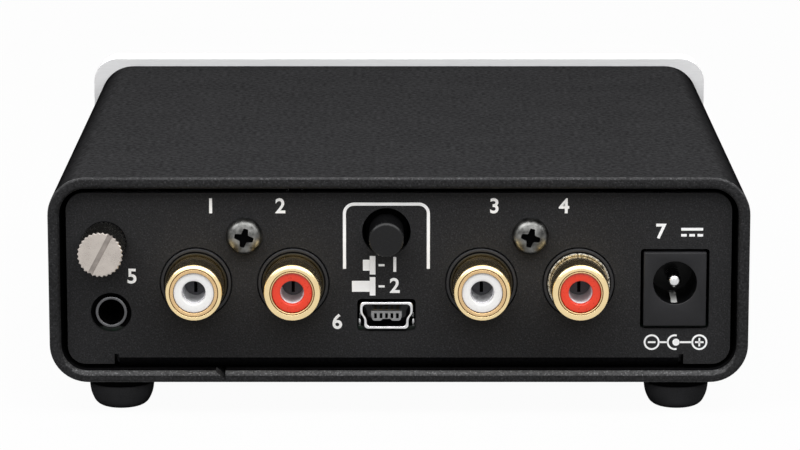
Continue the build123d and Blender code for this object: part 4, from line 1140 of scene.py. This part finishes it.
def disc(x, z, radius):
    mark = bmesh.new()
    bmesh.ops.create_circle(mark, cap_ends=True, segments=32, radius=radius * mm)
    shiftBy(mark, (x, z, 0))
    return mark


def figures(text, size, x, z, mirror):
    curve = bpy.data.curves.new("figures", "FONT")
    curve.body = text
    curve.size = size * mm
    curve.offset = 0.022 * size * mm
    curve.align_x = "CENTER"
    curve.align_y = "CENTER"
    curve.resolution_u = 4
    holder = asObject(curve)
    graph = bpy.context.evaluated_depsgraph_get()
    mesh = bpy.data.meshes.new_from_object(holder.evaluated_get(graph))
    mark = bmesh.new()
    mark.from_mesh(mesh)
    bpy.data.curves.remove(curve)
    bpy.data.meshes.remove(mesh)
    bmesh.ops.remove_doubles(mark, verts=mark.verts[:], dist=0.001 * mm)
    bmesh.ops.scale(mark, verts=mark.verts[:], vec=(-1.0 if mirror else 1.0, 1.0, 1.0))
    shiftBy(mark, (x, z, 0))
    return mark


def printPiece(name, marks, y, lift, finish):  # all the marks of one side as one thin piece, from y and raised by lift
    shape = bmesh.new()
    for mark in marks:
        copyInto(shape, mark, (0, 0, 0))
        mark.free()
    grown = bmesh.ops.extrude_face_region(shape, geom=shape.faces[:])["geom"]
    shiftBy(shape, (0, 0, lift), only(grown, bmesh.types.BMVert))
    stand = Matrix(((1, 0, 0, 0), (0, 0, 1, y * mm), (0, 1, 0, 0), (0, 0, 0, 1)))
    bmesh.ops.transform(shape, matrix=stand, verts=shape.verts[:])
    bmesh.ops.recalc_face_normals(shape, faces=shape.faces[:])
    finishPiece(name, shape, "case", finish)


rearPrint = {"line": 0.45, "thin": 0.27, "figure": 3.0, "plate": 55.69, "raised": 0.03}  # plate and raised along Y
rearPrint["arch"] = {"from": -4.45, "to": 8.05, "top": 31.1, "foot": 21.4, "corner": 1.6}
rearPrint["states"] = ((21.92, 4.68, 1.0, "1"), (18.82, 5.47, 2.58, "2"))  # height, plunger's middle and width, figure
rearPrint["button"] = {"plate": (3.79, 0.82, 2.72), "line": (2.5, 0.87, 0.32), "plungerHigh": 1.6, "figureX": 0.6}
rearPrint["current"] = {"x": -42.1, "line": (27.2, 3.15, 0.4), "dashes": (26.32, 0.8, 0.38), "pitch": 1.17}
rearPrint["polarity"] = {"z": 10.57, "round": 1.02, "minus": (-36.49, 1.1), "plus": (-43.37, 1.24)}
rearPrint["polarity"]["lines"] = ((-38.18, 1.2), (-41.45, 1.75))  # middle and width
rearPrint["polarity"]["cup"] = (-39.83, 210.0, -105.0)  # middle, sweep and start in degrees
rearPrint["polarity"]["dot"] = (-40.0, 0.52)
rearPrint["figures"] = [("1", 27.0, 30.5), ("2", 17.0, 30.5), ("3", -13.7, 30.5), ("4", -23.7, 30.5)]
rearPrint["figures"] += [("5", 38.4, 20.2), ("6", 8.9, 13.5), ("7", -37.6, 26.8)]


def bracketMark():  # an arch with round corners and open feet
    line, arch = rearPrint["line"], rearPrint["arch"]
    start, end, top, corner = (arch[key] for key in ("from", "to", "top", "corner"))
    below = arch["foot"] - 3.4  # cut off again at the feet
    mark = bmesh.new()
    outline = [(end, below, 0), (end, top, corner), (start, top, corner), (start, below, 0)]
    points = [mark.verts.new((x * mm, z * mm, 0)) for x, z, rounding in outline]
    mark.faces.new(points)
    for point in points[1:3]:
        bmesh.ops.bevel(
            mark, geom=[point], offset=corner * mm, affect="VERTICES", segments=8, profile=0.5, material=-1
        )
    middle = mark.faces[:]
    bmesh.ops.inset_region(mark, faces=middle, thickness=line * mm, use_even_offset=True, use_boundary=True)
    bmesh.ops.delete(mark, geom=middle, context="FACES")
    every = mark.verts[:] + mark.edges[:] + mark.faces[:]
    foot = (0, arch["foot"] * mm, 0)
    bmesh.ops.bisect_plane(mark, geom=every, plane_co=foot, plane_no=(0, -1, 0), clear_outer=True)
    return mark


def rearMarks():
    thin, size = rearPrint["thin"], rearPrint["figure"]
    marks = [bracketMark()]
    button = rearPrint["button"]
    for middle, plungerX, plungerWidth, figure in rearPrint["states"]:  # the button pressed in, and standing out
        for x, width, height in (button["plate"], (plungerX, plungerWidth, button["plungerHigh"]), button["line"]):
            marks.append(bar(x, middle, width, height))
        marks.append(figures(figure, size, button["figureX"], middle, True))
    current = rearPrint["current"]
    marks.append(bar(current["x"], *current["line"]))
    marks += [bar(current["x"] + step * current["pitch"], *current["dashes"]) for step in (-1, 0, 1)]
    sign = rearPrint["polarity"]
    z, radius = sign["z"], sign["round"]
    for x, width in (sign["minus"], sign["plus"]):
        marks += [ring(x, z, radius, thin), bar(x, z, width, thin)]
    x, height = sign["plus"]
    marks.append(bar(x, z, thin, height))
    x, sweep, start = sign["cup"]
    marks.append(ring(x, z, radius, thin, sweep, start))
    x, small = sign["dot"]
    marks.append(disc(x, z, small))
    marks += [bar(x, z, width, thin) for x, width in sign["lines"]]
    marks += [figures(figure, size, x, height, True) for figure, x, height in rearPrint["figures"]]
    printPiece("rearPrint", marks, rearPrint["plate"], rearPrint["raised"], whiteInk)


dial = {"swing": 150.0, "steps": 10, "figureAt": 10.3, "figure": 1.9, "panel": -51.49, "raised": -0.03}
dial["tick"] = {"at": 8.4, "wide": 0.22, "length": 0.8}


def frontMarks():
    marks = []
    middleX, middleZ = knob["place"][::2]
    line, reach = dial["tick"], dial["figureAt"]
    for step in range(dial["steps"] + 1):
        turn = math.radians(dial["swing"] * (2 * step / dial["steps"] - 1))
        tick = bar(0, line["at"], line["wide"], line["length"])
        turnBy(tick, -turn, "Z")
        shiftBy(tick, (middleX, middleZ, 0))
        x, z = middleX + reach * math.sin(turn), middleZ + reach * math.cos(turn)
        marks += [tick, figures(str(step), dial["figure"], x, z, False)]
    printPiece("dialPrint", marks, dial["panel"], dial["raised"], darkInk)


rearMarks()
frontMarks()
print("prints laid on")
